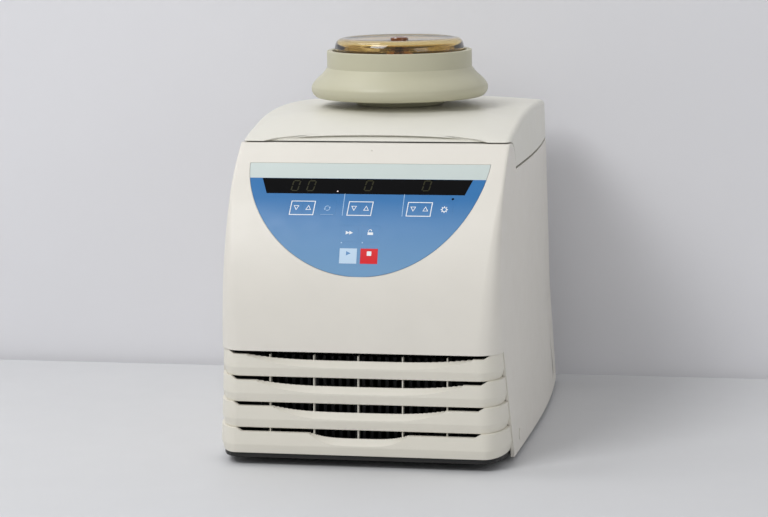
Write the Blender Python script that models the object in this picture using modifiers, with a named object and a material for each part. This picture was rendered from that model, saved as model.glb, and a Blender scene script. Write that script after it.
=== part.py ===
"""Refrigerated microcentrifuge with its rotor standing on the closed lid.

Metres, +Z up, the front faces -Y, origin on the bench under the middle of the cabinet.
"""

from math import acos, atan2, cos, degrees, pi, radians, sin, sqrt, tau

import bmesh
import bpy
from mathutils import Matrix, Vector

# Cabinet
WIDTH = 0.293
DEPTH = 0.450
LID_TOP = 0.330
SIDE_BOTTOM = 0.005
WALL = 0.0035
FIT_GAP = 0.0003
OVERRUN = 0.010
BOW_FRONT = 0.0031
BOW_REAR = 0.0108
TAPER_LOW = 0.0064
TAPER_HIGH = 0.0053
FRONT_FLARE = 0.006
FRONT_RAKE = 0.187
CORNER_WIDTH = 0.024
CORNER_FOOT = 0.050
CORNER_BROW = 0.026
CORNER_CROWN = 0.006
CORNER_CROWN_Z = 0.265
CORNER_LEAST = 0.001
REAR_CORNER = 0.014
FLANGE_Z = 0.264
FLANGE_WIDTH = 0.009
REAR_COVER_DEPTH = 0.012

# Parting between cabinet and lid
PARTING_FRONT_Z = 0.3046
PARTING_GAP = 0.0012
SEAM_FRONT_Y = -0.114
SEAM_REAR_Y = -0.088
SEAM_GAP = 0.0008
SKIRT_Z = 0.278
GROOVE = 0.0025
HINGE_RECESS_Y = 0.205
HINGE_RECESS_Z = 0.2705

# Louvre grille
GRILLE_BOTTOM = 0.0125
GRILLE_TOP = 0.1123
GRILLE_WALL = 0.0032
GRILLE_STEP_BACK = 0.0012
SLATS = 4
SLOT = 0.0033
SLOT_HALF = 0.122
SLOT_HALF_LAST = 0.114
SLOT_SLANT = 0.006
SLAT_UNDERCUT = 0.0018
SLAT_FACET = 0.0087
SLAT_EDGE = 0.0003
SCOOP_FRONT_DROP = 0.009
SCOOP_REAR_DROP = 0.0033
SCOOP_HALVES = (0.112, 0.1025, 0.0855, 0.0485)
RIBS = 5
RIB_PITCH = 0.0433
RIB_THICK = 0.0012
RIB_SETBACK = 0.0024
RIB_REACH = 0.012
SIDE_EDGE_TOP_Y = -0.1925
SIDE_EDGE_FOOT_Y = -0.1732

# Control panel, measured along the raked front from the panel's lowest point
PANEL_FOOT_Z = 0.1845
PANEL_HALF = 0.1193
PANEL_ARC = 0.130
PANEL_HEIGHT = 0.1212
PANEL_THICK = 0.0009
PANEL_RECESS = 0.0008
PANEL_FIT = 0.0004
DISPLAY_FOOT = 0.0845
DISPLAY_HEIGHT = 0.0177
DISPLAY_HALF_TOP = 0.104
DISPLAY_HALF_FOOT = 0.0975
KEY_TRAVEL = 0.0004
KEY_PITCH = 0.0138
KEY_HEIGHT = 0.0155
KEY_ROW = 0.0610
SMALL_KEY = 0.0170
PUSH_ROW = 0.0345
PUSH_HEIGHT = 0.0165
START_ROW = 0.0128
START_HEIGHT = 0.0150

# Lid
LID_WALL = 0.003
LID_FALL = 0.009
LID_FLAT_Y = 0.030
LID_EDGE = 0.008
LID_REAR_EDGE = 0.012
LID_CROWN = 0.002
GRIP_HALF = 0.112
GRIP_RISE = 0.0058
GRIP_DEPTH = 0.0014
LINER_Z = 0.2813
LINER_THICK = 0.003
LINER_FRONT_Y = -0.108
LINER_PLUG_DROP = 0.007
LID_OPENING = radians(75)

# Hinge
HINGE_Y = 0.218
HINGE_Z = 0.279
HINGE_X = 0.080
HINGE_BARREL = 0.0035
HINGE_ROD = 0.0018
HINGE_BORE = 0.0021
HINGE_LEAF = 0.0025
HINGE_KNUCKLE = 0.020
HINGE_REACH = 0.024
HINGE_NECK = 0.0008

# Chamber
CHAMBER_Y = 0.022
BOWL_RADIUS = 0.098
BOWL_WALL = 0.0012
BOWL_FLOOR_Z = 0.190
BOWL_FILLET = 0.014
COIL_TUBE = 0.0035
COIL_TURNS = 4
COIL_PITCH = 0.012
COIL_START_Z = 0.203
COLLAR_Z = 0.276
COLLAR_WIDTH = 0.0075
DECK_THICK = 0.003
FOAM_WALL = 0.012
FOAM_TOP_Z = 0.258
FOAM_SIDES = 32
ARMOUR_WALL = 0.005

# Chassis and drive
PAN_Z = 0.008
PAN_SHEET = 0.0015
PAN_RIM = 0.012
PLATE_Z = 0.178
PLATE_THICK = 0.003
PLATE_HALF_X = 0.126
PLATE_HALF_Y = 0.126
POST = 0.016
PLATE_HOLE = 0.040
MOTOR_RADIUS = 0.048
MOTOR_FOOT_Z = 0.060
MOTOR_TOP_Z = 0.164
MOTOR_FLANGE = 0.066
BUFFER_RADIUS = 0.008
BUFFER_CIRCLE = 0.056
SPINDLE_RADIUS = 0.009
SPINDLE_TOP_Z = 0.236
SPINDLE_SOCKET = 0.020

# Cooling machine
COMPRESSOR_X = 0.042
COMPRESSOR_Y = 0.142
COMPRESSOR_RADIUS = 0.055
COMPRESSOR_FOOT_Z = 0.026
COMPRESSOR_HEIGHT = 0.132
CONDENSER_FRONT_Y = -0.196
CONDENSER_DEPTH = 0.026
CONDENSER_HALF = 0.100
CONDENSER_FOOT_Z = 0.0098
CONDENSER_TOP_Z = 0.105
CONDENSER_FINS = 26
FAN_RADIUS = 0.039
FAN_BLADES = 5
FAN_Z = 0.060
FAN_MOTOR_RADIUS = 0.017
SHROUD_SHEET = 0.002

# Rotor
ROTOR_Y = 0.018
ROTOR_FOOT = 0.068
ROTOR_RADIUS = 0.091
ROTOR_COLLAR = 0.0746
ROTOR_HEIGHT = 0.0555
ROTOR_RIM = 0.0055
ROTOR_HOLES = 24
HOLE_RADIUS = 0.0055
HOLE_DEPTH = 0.038
HOLE_MOUTH = 0.0535
HOLE_MOUTH_RISE = 0.0345
HUB_RADIUS = 0.0155
ROTOR_LID_RADIUS = 0.0668
ROTOR_LID_WALL = 0.003
ROTOR_LID_RISE = 0.0150
KNOB_RADIUS = 0.0093

# Small parts
FOOT_RADIUS = 0.015
FOOT_INSET_X = 0.105
FOOT_FRONT_Y = -0.170
FOOT_REAR_Y = 0.190
PLUG_RADIUS = 0.0055
PLUG_Y = -0.136
PLUG_Z = 0.0195
LATCH_Y = -0.100
LATCH_HALF_X = 0.017
LATCH_HALF_Y = 0.011
LATCH_DEPTH = 0.034
STRIKER_ROD = 0.002
STRIKER_HALF = 0.009
STRIKER_FOOT_Z = 0.250
HOOK_HALF = 0.0015
LATCH_SWING = radians(11)
INLET_X = -0.085
INLET_Z = 0.060
INLET_HALF_X = 0.0135
INLET_HALF_Z = 0.0100
SWITCH_X = -0.040
SWITCH_HALF_X = 0.0105
SWITCH_HALF_Z = 0.0070
SWITCH_TILT = radians(7)
BOARD_LEFT = -0.124
BOARD_FRONT = 0.004
BOARD_WIDTH = 0.084
BOARD_LENGTH = 0.112
BOARD_SETBACK = 0.0034
PIPE_RADIUS = 0.003
SCREW_RADIUS = 0.0028
SCREW_Y = 0.165
SCREW_Z = 0.025

ROUND = 48
SMALL_ROUND = 20
CORNER_STEPS = 5
SIDE_STEPS = 4
FRONT_STEPS = 8
PANEL_STEPS = 12

FINISHES = {
    "cream_shell": ((0.76, 0.74, 0.68), 0.45, 0.0),
    "lid_shell": ((0.74, 0.73, 0.68), 0.42, 0.0),
    "grille_shell": ((0.76, 0.74, 0.68), 0.45, 0.0),
    "grey_liner": ((0.42, 0.43, 0.42), 0.55, 0.0),
    "black_steel": ((0.02, 0.02, 0.02), 0.50, 0.6),
    "zinc_steel": ((0.55, 0.56, 0.58), 0.40, 0.9),
    "stainless": ((0.60, 0.60, 0.61), 0.25, 1.0),
    "rubber": ((0.03, 0.03, 0.03), 0.80, 0.0),
    "foam": ((0.75, 0.70, 0.50), 0.90, 0.0),
    "copper": ((0.72, 0.38, 0.24), 0.30, 1.0),
    "aluminium_fins": ((0.60, 0.61, 0.62), 0.45, 1.0),
    "black_plastic": ((0.02, 0.02, 0.022), 0.50, 0.0),
    "panel_blue": ((0.09, 0.25, 0.50), 0.40, 0.0),
    "display_black": ((0.01, 0.01, 0.012), 0.12, 0.0),
    "key_blue": ((0.09, 0.25, 0.50), 0.38, 0.0),
    "key_pale": ((0.50, 0.68, 0.85), 0.38, 0.0),
    "key_red": ((0.70, 0.02, 0.03), 0.38, 0.0),
    "board_green": ((0.02, 0.16, 0.07), 0.50, 0.0),
    "rotor_grey": ((0.44, 0.44, 0.33), 0.45, 0.2),
    "amber": ((0.62, 0.50, 0.26), 0.12, 0.0),
    "knob_brown": ((0.25, 0.10, 0.04), 0.30, 0.0),
    "brass": ((0.60, 0.36, 0.20), 0.30, 1.0),
    "motor_paint": ((0.08, 0.08, 0.09), 0.50, 0.4),
}


def clear_scene():
    for item in list(bpy.data.objects):
        bpy.data.objects.remove(item, do_unlink=True)


def new_collection(name):
    collection = bpy.data.collections.new(name)
    bpy.context.scene.collection.children.link(collection)
    return collection


clear_scene()
PARTS = new_collection("refrigerated_microcentrifuge")
CUTTERS = new_collection("cutters")


def finish_material(name):
    material = bpy.data.materials.get(name)
    if material is None:
        colour, roughness, metallic = FINISHES[name]
        material = bpy.data.materials.new(name)
        material.use_nodes = True
        shader = material.node_tree.nodes["Principled BSDF"]
        shader.inputs["Base Color"].default_value = (*colour, 1.0)
        shader.inputs["Roughness"].default_value = roughness
        shader.inputs["Metallic"].default_value = metallic
        material.diffuse_color = (*colour, 1.0)
    return material


def add_mesh(name, bm, finish=None, place=None, smooth=None):
    """A part with a finish, or a hidden cutter when it has none."""
    bmesh.ops.recalc_face_normals(bm, faces=bm.faces)
    mesh = bpy.data.meshes.new(name)
    bm.to_mesh(mesh)
    bm.free()
    item = bpy.data.objects.new(name, mesh)
    item.matrix_world = place or Matrix.Identity(4)
    if finish:
        PARTS.objects.link(item)
        mesh.materials.append(finish_material(finish))
    else:
        CUTTERS.objects.link(item)
        item.hide_render = True
        item.display_type = "WIRE"
    if smooth is not None:
        mesh.shade_smooth()
        mesh.set_sharp_from_angle(angle=radians(smooth))
    return item


def combine(item, other, operation="DIFFERENCE"):
    modifier = item.modifiers.new(other.name, "BOOLEAN")
    modifier.operation = operation
    modifier.object = other
    return item


def cut(item, *others):
    for other in others:
        combine(item, other)
    return item


def join(item, *others):
    for other in others:
        combine(item, other, "UNION")
    return item


def box(name, low, high, finish=None, bevel=0.0, segments=2):
    low, high = Vector(low), Vector(high)
    bm = bmesh.new()
    size = high - low
    bmesh.ops.create_cube(bm, size=1.0, matrix=Matrix.Diagonal((*size, 1.0)))
    item = add_mesh(name, bm, finish, Matrix.Translation((low + high) / 2))
    if bevel:
        modifier = item.modifiers.new("edges", "BEVEL")
        modifier.width = bevel
        modifier.segments = segments
        modifier.limit_method = "ANGLE"
    return item


def cylinder(name, radius, start, end, finish=None, sides=SMALL_ROUND, end_radius=None):
    """A cylinder or cone from one point to another."""
    start, end = Vector(start), Vector(end)
    along = end - start
    turn = Vector((0.0, 0.0, 1.0)).rotation_difference(along).to_matrix().to_4x4()
    bm = bmesh.new()
    bmesh.ops.create_cone(
        bm,
        cap_ends=True,
        segments=sides,
        radius1=radius,
        radius2=radius if end_radius is None else end_radius,
        depth=along.length,
    )
    place = Matrix.Translation((start + end) / 2) @ turn
    return add_mesh(name, bm, finish, place, smooth=40)


def extruded(name, outline, axis, start, end, finish=None):
    """A flat outline pulled along X, Y or Z from start to end."""
    order = {"x": (2, 0, 1), "y": (0, 2, 1), "z": (0, 1, 2)}[axis]
    bm = bmesh.new()
    verts = []
    for first, second in outline:
        point = (first, second, start)
        verts.append(bm.verts.new([point[k] for k in order]))
    face = bm.faces.new(verts)
    pulled = bmesh.ops.extrude_face_region(bm, geom=[face])
    moved = [part for part in pulled["geom"] if isinstance(part, bmesh.types.BMVert)]
    shift = (0.0, 0.0, end - start)
    bmesh.ops.translate(bm, verts=moved, vec=[shift[k] for k in order])
    return add_mesh(name, bm, finish)


def turned(name, profile, finish=None, place=None, sides=ROUND, closed=False):
    """A (radius, height) profile swept round Z: from the top centre down, or a closed ring section."""
    bm = bmesh.new()
    verts = [bm.verts.new((radius, 0.0, height)) for radius, height in profile]
    for first, second in zip(verts, verts[1:]):
        bm.edges.new((first, second))
    if closed:
        bm.edges.new((verts[-1], verts[0]))
    mesh = bpy.data.meshes.new(name)
    bm.to_mesh(mesh)
    bm.free()
    item = bpy.data.objects.new(name, mesh)
    item.matrix_world = place or Matrix.Identity(4)
    screw = item.modifiers.new("turn", "SCREW")
    screw.steps = sides
    screw.render_steps = sides
    screw.use_merge_vertices = True
    screw.merge_threshold = 0.00001
    screw.use_smooth_shade = True
    if finish:
        PARTS.objects.link(item)
        mesh.materials.append(finish_material(finish))
    else:
        CUTTERS.objects.link(item)
        item.hide_render = True
        item.display_type = "WIRE"
    return item


def tube(name, points, radius, finish=None, resolution=2):
    """A POLY curve with a round bevel and filled caps, made a welded mesh."""
    curve = bpy.data.curves.new(name, "CURVE")
    curve.dimensions = "3D"
    curve.bevel_depth = radius
    curve.bevel_resolution = resolution
    curve.use_fill_caps = True
    spline = curve.splines.new("POLY")
    spline.points.add(len(points) - 1)
    for slot, point in zip(spline.points, points):
        slot.co = (*point, 1.0)
    guide = bpy.data.objects.new(name + "_guide", curve)
    CUTTERS.objects.link(guide)
    bpy.context.view_layer.update()
    mesh = bpy.data.meshes.new_from_object(guide.evaluated_get(bpy.context.evaluated_depsgraph_get()))
    bpy.data.objects.remove(guide, do_unlink=True)
    bm = bmesh.new()
    bm.from_mesh(mesh)
    bmesh.ops.remove_doubles(bm, verts=bm.verts, dist=0.00001)
    return add_mesh(name, bm, finish, smooth=50)


def loft(name, rings, finish=None, smooth=None):
    """A closed solid through rings of equally many points, capped at both ends."""
    bm = bmesh.new()
    rows = [[bm.verts.new(point) for point in ring] for ring in rings]
    count = len(rows[0])
    for lower, upper in zip(rows, rows[1:]):
        for k in range(count):
            after = (k + 1) % count
            bm.faces.new((lower[k], lower[after], upper[after], upper[k]))
    bm.faces.new(list(reversed(rows[0])))
    bm.faces.new(rows[-1])
    return add_mesh(name, bm, finish, smooth=smooth)


def seat(item, point):
    """Puts a piece's origin on its joint, leaving its shape where it is."""
    item.data.transform(Matrix.Translation(-Vector(point)) @ item.matrix_world)
    item.matrix_world = Matrix.Translation(point)
    return item


def share(value, low, high):
    """Where value lies between low and high, from 0 to 1."""
    return min(max((value - low) / (high - low), 0.0), 1.0)


def mix(low, high, part):
    return low + (high - low) * part


# The cabinet's outer surface

FRONT_Y = -DEPTH / 2
RAKE_Y = FRONT_Y + FRONT_FLARE
CROWN_Y = RAKE_Y + FRONT_RAKE
RAKE_RISE = LID_TOP - GRILLE_TOP


def front_y(z):
    """The front face on the centre line: flared grille, then a quarter ellipse up to the lid's top."""
    if z <= GRILLE_TOP:
        return FRONT_Y + FRONT_FLARE * share(z, GRILLE_BOTTOM, GRILLE_TOP)
    rise = share(z, GRILLE_TOP, LID_TOP)
    return RAKE_Y + FRONT_RAKE * (1 - sqrt(1 - rise**2))


def side_x(y, z):
    """Half the width: the sides bow in towards both ends and taper upwards."""
    bow = (BOW_REAR if y > 0 else BOW_FRONT) * (2 * y / DEPTH) ** 2
    low = TAPER_LOW * share(z, GRILLE_BOTTOM, GRILLE_TOP)
    high = TAPER_HIGH * share(z, GRILLE_TOP, LID_TOP)
    return WIDTH / 2 - bow - low - high


def corner_size(z, inset):
    """The front corner's width and how far back it runs: broad at the grille, tight under the lid."""
    if z <= GRILLE_TOP:
        width, reach = CORNER_WIDTH, mix(CORNER_FOOT, CORNER_BROW, share(z, GRILLE_BOTTOM, GRILLE_TOP))
    else:
        rise = share(z, GRILLE_TOP, CORNER_CROWN_Z)
        width, reach = mix(CORNER_WIDTH, CORNER_CROWN, rise), mix(CORNER_BROW, CORNER_CROWN, rise)
    return max(width - inset, CORNER_LEAST), max(reach - inset, CORNER_LEAST)


def corner_point(z, angle, inset):
    """A point of the front corner, from the front face at 0 to the side at a quarter turn."""
    width, reach = corner_size(z, inset)
    y = front_y(z) + inset + reach
    x = side_x(y, z) - inset - width
    return x + width * sin(angle), y - reach * cos(angle)


def half_ring(z, inset, rear_y, rear_corner):
    """The right half of the plan outline at height z, front to rear."""
    points = [corner_point(z, pi / 2 * k / CORNER_STEPS, inset) for k in range(CORNER_STEPS + 1)]
    start = points[-1][1]
    stop = rear_y - rear_corner
    for k in range(1, SIDE_STEPS + 1):
        y = mix(start, stop, k / SIDE_STEPS)
        points.append((side_x(y, z) - inset, y))
    if rear_corner:
        x = side_x(stop, z) - inset - rear_corner
        for k in range(1, CORNER_STEPS + 1):
            angle = pi / 2 * k / CORNER_STEPS
            points.append((x + rear_corner * cos(angle), stop + rear_corner * sin(angle)))
    return points


def ring(z, inset=0.0, rear_y=None, rear_corner=None):
    if rear_y is None:
        rear_y = DEPTH / 2 - inset
    if rear_corner is None:
        rear_corner = REAR_CORNER - inset
    half = half_ring(z, inset, rear_y, rear_corner)
    return [(x, y, z) for x, y in half] + [(-x, y, z) for x, y in reversed(half)]


def body_levels(low, high, steps=FRONT_STEPS):
    """Heights that follow the rake's curve evenly, with the straight foot below."""
    levels = [low]
    if low < GRILLE_BOTTOM < high:
        levels.append(GRILLE_BOTTOM)
    if low < GRILLE_TOP < high:
        levels.append(GRILLE_TOP)
    first = acos(1 - share(low, GRILLE_TOP, LID_TOP)) if low > GRILLE_TOP else 0.0
    last = pi / 2 - acos(share(high, GRILLE_TOP, LID_TOP))
    for k in range(1, steps + 1):
        z = GRILLE_TOP + RAKE_RISE * sin(mix(first, last, k / steps))
        if z > levels[-1] + FIT_GAP:
            levels.append(z)
    return levels


def body_form(name, low, high, inset=0.0, steps=FRONT_STEPS):
    return loft(name, [ring(z, inset) for z in body_levels(low, high, steps)])


def seam_arc(shift_y, front_z, rear_z):
    """The seam's quarter round from the front parting line down to the side groove."""
    rise = front_z - rear_z
    run = SEAM_REAR_Y - SEAM_FRONT_Y
    angles = [pi / 2 * k / CORNER_STEPS for k in range(CORNER_STEPS + 1)]
    return [(SEAM_FRONT_Y + shift_y + run * sin(a), front_z - rise * (1 - cos(a))) for a in angles]


def above_housing():
    """Everything over the cabinet's upper edge, seen from the side."""
    front_z = PARTING_FRONT_Z - PARTING_GAP
    rear_z = SKIRT_Z - GROOVE
    far = DEPTH
    outline = [(-far, front_z)] + seam_arc(-SEAM_GAP, front_z, rear_z)
    outline += [(HINGE_RECESS_Y, rear_z), (HINGE_RECESS_Y, HINGE_RECESS_Z), (far, HINGE_RECESS_Z)]
    outline += [(far, LID_TOP + far), (-far, LID_TOP + far)]
    return extruded("above_housing", outline, "x", -WIDTH, WIDTH)


def below_lid():
    far = DEPTH
    outline = [(-far, PARTING_FRONT_Z)] + seam_arc(0.0, PARTING_FRONT_Z, SKIRT_Z)
    outline += [(far, SKIRT_Z), (far, -far), (-far, -far)]
    return extruded("below_lid", outline, "x", -WIDTH, WIDTH)


# The control panel follows the raked front


def panel_table():
    """Heights and distances along the front, walked up from the panel's lowest point."""
    steps = 240
    top = LID_TOP - WALL
    heights, lengths = [PANEL_FOOT_Z], [0.0]
    for k in range(1, steps + 1):
        z = mix(PANEL_FOOT_Z, top, k / steps)
        rise = z - heights[-1]
        run = front_y(z) - front_y(heights[-1])
        lengths.append(lengths[-1] + sqrt(rise**2 + run**2))
        heights.append(z)
    return heights, lengths


PANEL_HEIGHTS, PANEL_LENGTHS = panel_table()


def panel_point(length, outset):
    """The (y, z) of a point that far along the front and that far out of it."""
    k = 0
    while k < len(PANEL_LENGTHS) - 2 and PANEL_LENGTHS[k + 1] < length:
        k += 1
    part = (length - PANEL_LENGTHS[k]) / (PANEL_LENGTHS[k + 1] - PANEL_LENGTHS[k])
    z = mix(PANEL_HEIGHTS[k], PANEL_HEIGHTS[k + 1], part)
    rise = (z - GRILLE_TOP) / RAKE_RISE
    lean = atan2(FRONT_RAKE * rise / sqrt(1 - rise**2), RAKE_RISE)
    return front_y(z) - outset * cos(lean), z + outset * sin(lean)


def panel_ring(left, right, length, outer, inner):
    outer_y, outer_z = panel_point(length, outer)
    inner_y, inner_z = panel_point(length, inner)
    return [
        (left, outer_y, outer_z),
        (right, outer_y, outer_z),
        (right, inner_y, inner_z),
        (left, inner_y, inner_z),
    ]


def panel_pad(name, left, right, foot, height, outer, inner, finish=None, grow=0.0, steps=2, foot_cut=0.0):
    """A pad on the front: left and right edges, foot and height along it; foot_cut narrows its foot."""
    rings = []
    for k in range(steps + 1):
        part = k / steps
        length = mix(foot - grow, foot + height + grow, part)
        narrow = foot_cut * (1 - part)
        rings.append(panel_ring(left - grow + narrow, right + grow - narrow, length, outer, inner))
    return loft(name, rings, finish)


def panel_moon(name, outer, inner, finish=None, grow=0.0):
    """The half moon of the control panel."""
    stop = acos(1 - PANEL_HEIGHT / PANEL_ARC)
    start = stop / PANEL_STEPS / 2
    rings = []
    for k in range(PANEL_STEPS + 1):
        angle = mix(start, stop, k / PANEL_STEPS)
        half = PANEL_HALF * sin(angle) + grow
        length = PANEL_ARC * (1 - cos(angle)) + grow * (2 * k / PANEL_STEPS - 1)
        rings.append(panel_ring(-half, half, length, outer, inner))
    return loft(name, rings, finish)


DISPLAY_TAPER = DISPLAY_HALF_TOP - DISPLAY_HALF_FOOT
KEYS = {
    "speed_down_key": (-0.0738, KEY_ROW, KEY_PITCH, KEY_HEIGHT, "key_blue"),
    "speed_up_key": (-0.0738 + KEY_PITCH, KEY_ROW, KEY_PITCH, KEY_HEIGHT, "key_blue"),
    "unit_key": (-0.0353 - SMALL_KEY / 2, KEY_ROW, SMALL_KEY, KEY_HEIGHT, "key_blue"),
    "time_down_key": (-0.0169, KEY_ROW, KEY_PITCH, KEY_HEIGHT, "key_blue"),
    "time_up_key": (-0.0169 + KEY_PITCH, KEY_ROW, KEY_PITCH, KEY_HEIGHT, "key_blue"),
    "temperature_down_key": (0.0410, KEY_ROW, KEY_PITCH, KEY_HEIGHT, "key_blue"),
    "temperature_up_key": (0.0410 + KEY_PITCH, KEY_ROW, KEY_PITCH, KEY_HEIGHT, "key_blue"),
    "precool_key": (0.0791 - SMALL_KEY / 2, KEY_ROW, SMALL_KEY, KEY_HEIGHT, "key_blue"),
    "pulse_key": (-0.0194, PUSH_ROW, SMALL_KEY, PUSH_HEIGHT, "key_blue"),
    "open_key": (0.0010, PUSH_ROW, SMALL_KEY, PUSH_HEIGHT, "key_blue"),
    "start_key": (-0.0194, START_ROW, SMALL_KEY, START_HEIGHT, "key_pale"),
    "stop_key": (0.0010, START_ROW, SMALL_KEY, START_HEIGHT, "key_red"),
}


def key_outline(name):
    """A key's left, right, foot and height, less the gap that parts it from its neighbours."""
    left, foot, width, height, _ = KEYS[name]
    gap = PANEL_FIT
    return left + gap, left + width - gap, foot + gap, height - 2 * gap


def key_centre(name):
    left, right, foot, height = key_outline(name)
    y, z = panel_point(foot + height / 2, 0.0)
    return (left + right) / 2, y, z


def build_keypad(housing):
    face = PANEL_THICK - PANEL_RECESS
    back = -PANEL_RECESS
    floor = back - FIT_GAP
    cut(housing, panel_moon("panel_recess", OVERRUN, floor, grow=FIT_GAP))
    overlay = panel_moon("control_overlay", face, back, "panel_blue")
    window = (DISPLAY_FOOT, DISPLAY_HEIGHT)
    half = DISPLAY_HALF_TOP
    taper = DISPLAY_TAPER
    cut(overlay, panel_pad("display_opening", -half, half, *window, OVERRUN, -OVERRUN, grow=FIT_GAP, foot_cut=taper))
    panel_pad("display_window", -half, half, *window, face, back, "display_black", foot_cut=taper)
    for name, (*_, finish) in KEYS.items():
        left, right, foot, height = key_outline(name)
        cut(overlay, panel_pad(name + "_opening", left, right, foot, height, OVERRUN, -OVERRUN, grow=PANEL_FIT / 2))
        seat(panel_pad(name, left, right, foot, height, face, back, finish), key_centre(name))
        well = floor - KEY_TRAVEL - FIT_GAP
        cut(housing, panel_pad(name + "_well", left, right, foot, height, OVERRUN, well, grow=PANEL_FIT / 2))


def build_housing():
    """Front and sides in one moulding, and the cover that closes the rear."""
    top = PARTING_FRONT_Z + PARTING_GAP
    above = above_housing()
    cavity = body_form("cavity", SIDE_BOTTOM - OVERRUN, FLANGE_Z, WALL)
    throat = body_form("throat", FLANGE_Z - OVERRUN, top + OVERRUN, FLANGE_WIDTH, 5)
    split = DEPTH / 2 - REAR_COVER_DEPTH
    far = (-WIDTH, -DEPTH, -DEPTH), (WIDTH, split - FIT_GAP / 2, DEPTH)
    rear_zone = box("rear_zone", (-WIDTH, split - FIT_GAP, -DEPTH), (WIDTH, DEPTH, DEPTH))
    front_zone = box("front_zone", *far)
    grille_zone = extruded(
        "grille_zone",
        [
            (-DEPTH, -OVERRUN),
            (SIDE_EDGE_FOOT_Y, -OVERRUN),
            (SIDE_EDGE_FOOT_Y, SIDE_BOTTOM),
            (SIDE_EDGE_TOP_Y, GRILLE_TOP),
            (-DEPTH, GRILLE_TOP),
        ],
        "x",
        -WIDTH,
        WIDTH,
    )
    housing = loft("front_housing", [ring(z) for z in body_levels(SIDE_BOTTOM, top)], "cream_shell", smooth=35)
    cut(housing, cavity, throat, above, rear_zone, grille_zone)
    build_keypad(housing)
    plug_seat = cylinder(
        "plug_seat",
        PLUG_RADIUS + FIT_GAP,
        (WIDTH / 2 - OVERRUN, PLUG_Y, PLUG_Z),
        (WIDTH / 2 + OVERRUN, PLUG_Y, PLUG_Z),
    )
    cut(housing, plug_seat)
    screw_x = side_x(SCREW_Y, SCREW_Z)
    cut(housing, cylinder("screw_seat", SCREW_RADIUS, (screw_x - WALL / 4, SCREW_Y, SCREW_Z), (screw_x + WALL, SCREW_Y, SCREW_Z), sides=12))
    rear = loft("rear_panel", [ring(z) for z in body_levels(SIDE_BOTTOM, HINGE_Z)], "cream_shell", smooth=35)
    cut(rear, cavity, throat, above, front_zone, *rear_openings())


def rear_openings():
    """The power inlet, the switch and three rows of vent slots."""
    start, end = DEPTH / 2 - REAR_COVER_DEPTH, DEPTH / 2 + OVERRUN
    gap = FIT_GAP
    openings = [
        box(
            "inlet_opening",
            (INLET_X - INLET_HALF_X - WALL - gap, start, INLET_Z - INLET_HALF_Z - WALL - gap),
            (INLET_X + INLET_HALF_X + WALL + gap, end, INLET_Z + INLET_HALF_Z + WALL + gap),
        ),
        box(
            "switch_opening",
            (SWITCH_X - SWITCH_HALF_X - gap, start, INLET_Z - SWITCH_HALF_Z - gap),
            (SWITCH_X + SWITCH_HALF_X + gap, end, INLET_Z + SWITCH_HALF_Z + gap),
        ),
    ]
    rows, pitch, vent, half = 8, 0.014, 0.005, 0.085
    for k in range(rows):
        z = PLATE_Z - pitch * k
        openings.append(box(f"vent_{k}", (-half, start, z), (half, end, z + vent)))
    return openings


def slat_rows():
    """The outer face of the grille, bottom to top: a lower facet under each upright one."""
    pitch = (GRILLE_TOP - GRILLE_BOTTOM) / SLATS
    rows = []
    for k in range(SLATS):
        foot = GRILLE_BOTTOM + pitch * k
        rows.append((foot, SLAT_UNDERCUT))
        rows.append((foot + SLAT_FACET, 0.0))
        rows.append((foot + pitch - SLAT_EDGE, 0.0))
    return rows


def grille_section(side, angle):
    """One upright section of the grille wall, as a closed ring."""
    back = mix(FIT_GAP, GRILLE_STEP_BACK, sin(angle) ** 2)
    ring_points = []
    rows = [(z, back + inset) for z, inset in slat_rows()]
    inner = back + GRILLE_WALL
    rows += [(rows[-1][0], inner), (rows[0][0], inner)]
    for z, inset in rows:
        x, y = corner_point(z, angle, inset)
        ring_points.append((side * x, y, z))
    return ring_points


def build_grille():
    """Four slats in one moulding: slots, scooped upper edges and the ribs behind them."""
    turns = [pi / 2 * k / CORNER_STEPS for k in range(CORNER_STEPS + 1)]
    sections = [grille_section(-1, a) for a in reversed(turns)] + [grille_section(1, a) for a in turns]
    grille = loft("louvre_grille", sections, "grille_shell", smooth=25)
    pitch = (GRILLE_TOP - GRILLE_BOTTOM) / SLATS
    near, far = FRONT_Y - OVERRUN, FRONT_Y + CORNER_FOOT
    for k, scoop_half in enumerate(SCOOP_HALVES):
        top = GRILLE_TOP - pitch * k
        half = mix(SLOT_HALF, SLOT_HALF_LAST, k / (SLATS - 1))
        upper = top + (OVERRUN if k == 0 else 0.0)
        outline = [(-half, top - SLOT), (half, top - SLOT), (half + SLOT_SLANT, top)]
        outline += [(half + SLOT_SLANT, upper), (-half - SLOT_SLANT, upper)] if k == 0 else []
        outline += [(-half - SLOT_SLANT, top)]
        cut(grille, extruded(f"slot_{k}", outline, "y", near, far))
        cut(grille, scoop(f"scoop_{k}", scoop_half, top - SLOT))
    rib_rows = (PAN_Z + PAN_RIM + SLOT, GRILLE_TOP - SLOT)
    for k in range(RIBS):
        x = RIB_PITCH * (k - (RIBS - 1) / 2)
        outline = [(front_y(z) + RIB_SETBACK, z) for z in rib_rows]
        outline += [(front_y(z) + RIB_REACH, z) for z in reversed(rib_rows)]
        join(grille, extruded(f"rib_{k}", outline, "x", x - RIB_THICK / 2, x + RIB_THICK / 2))


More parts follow.
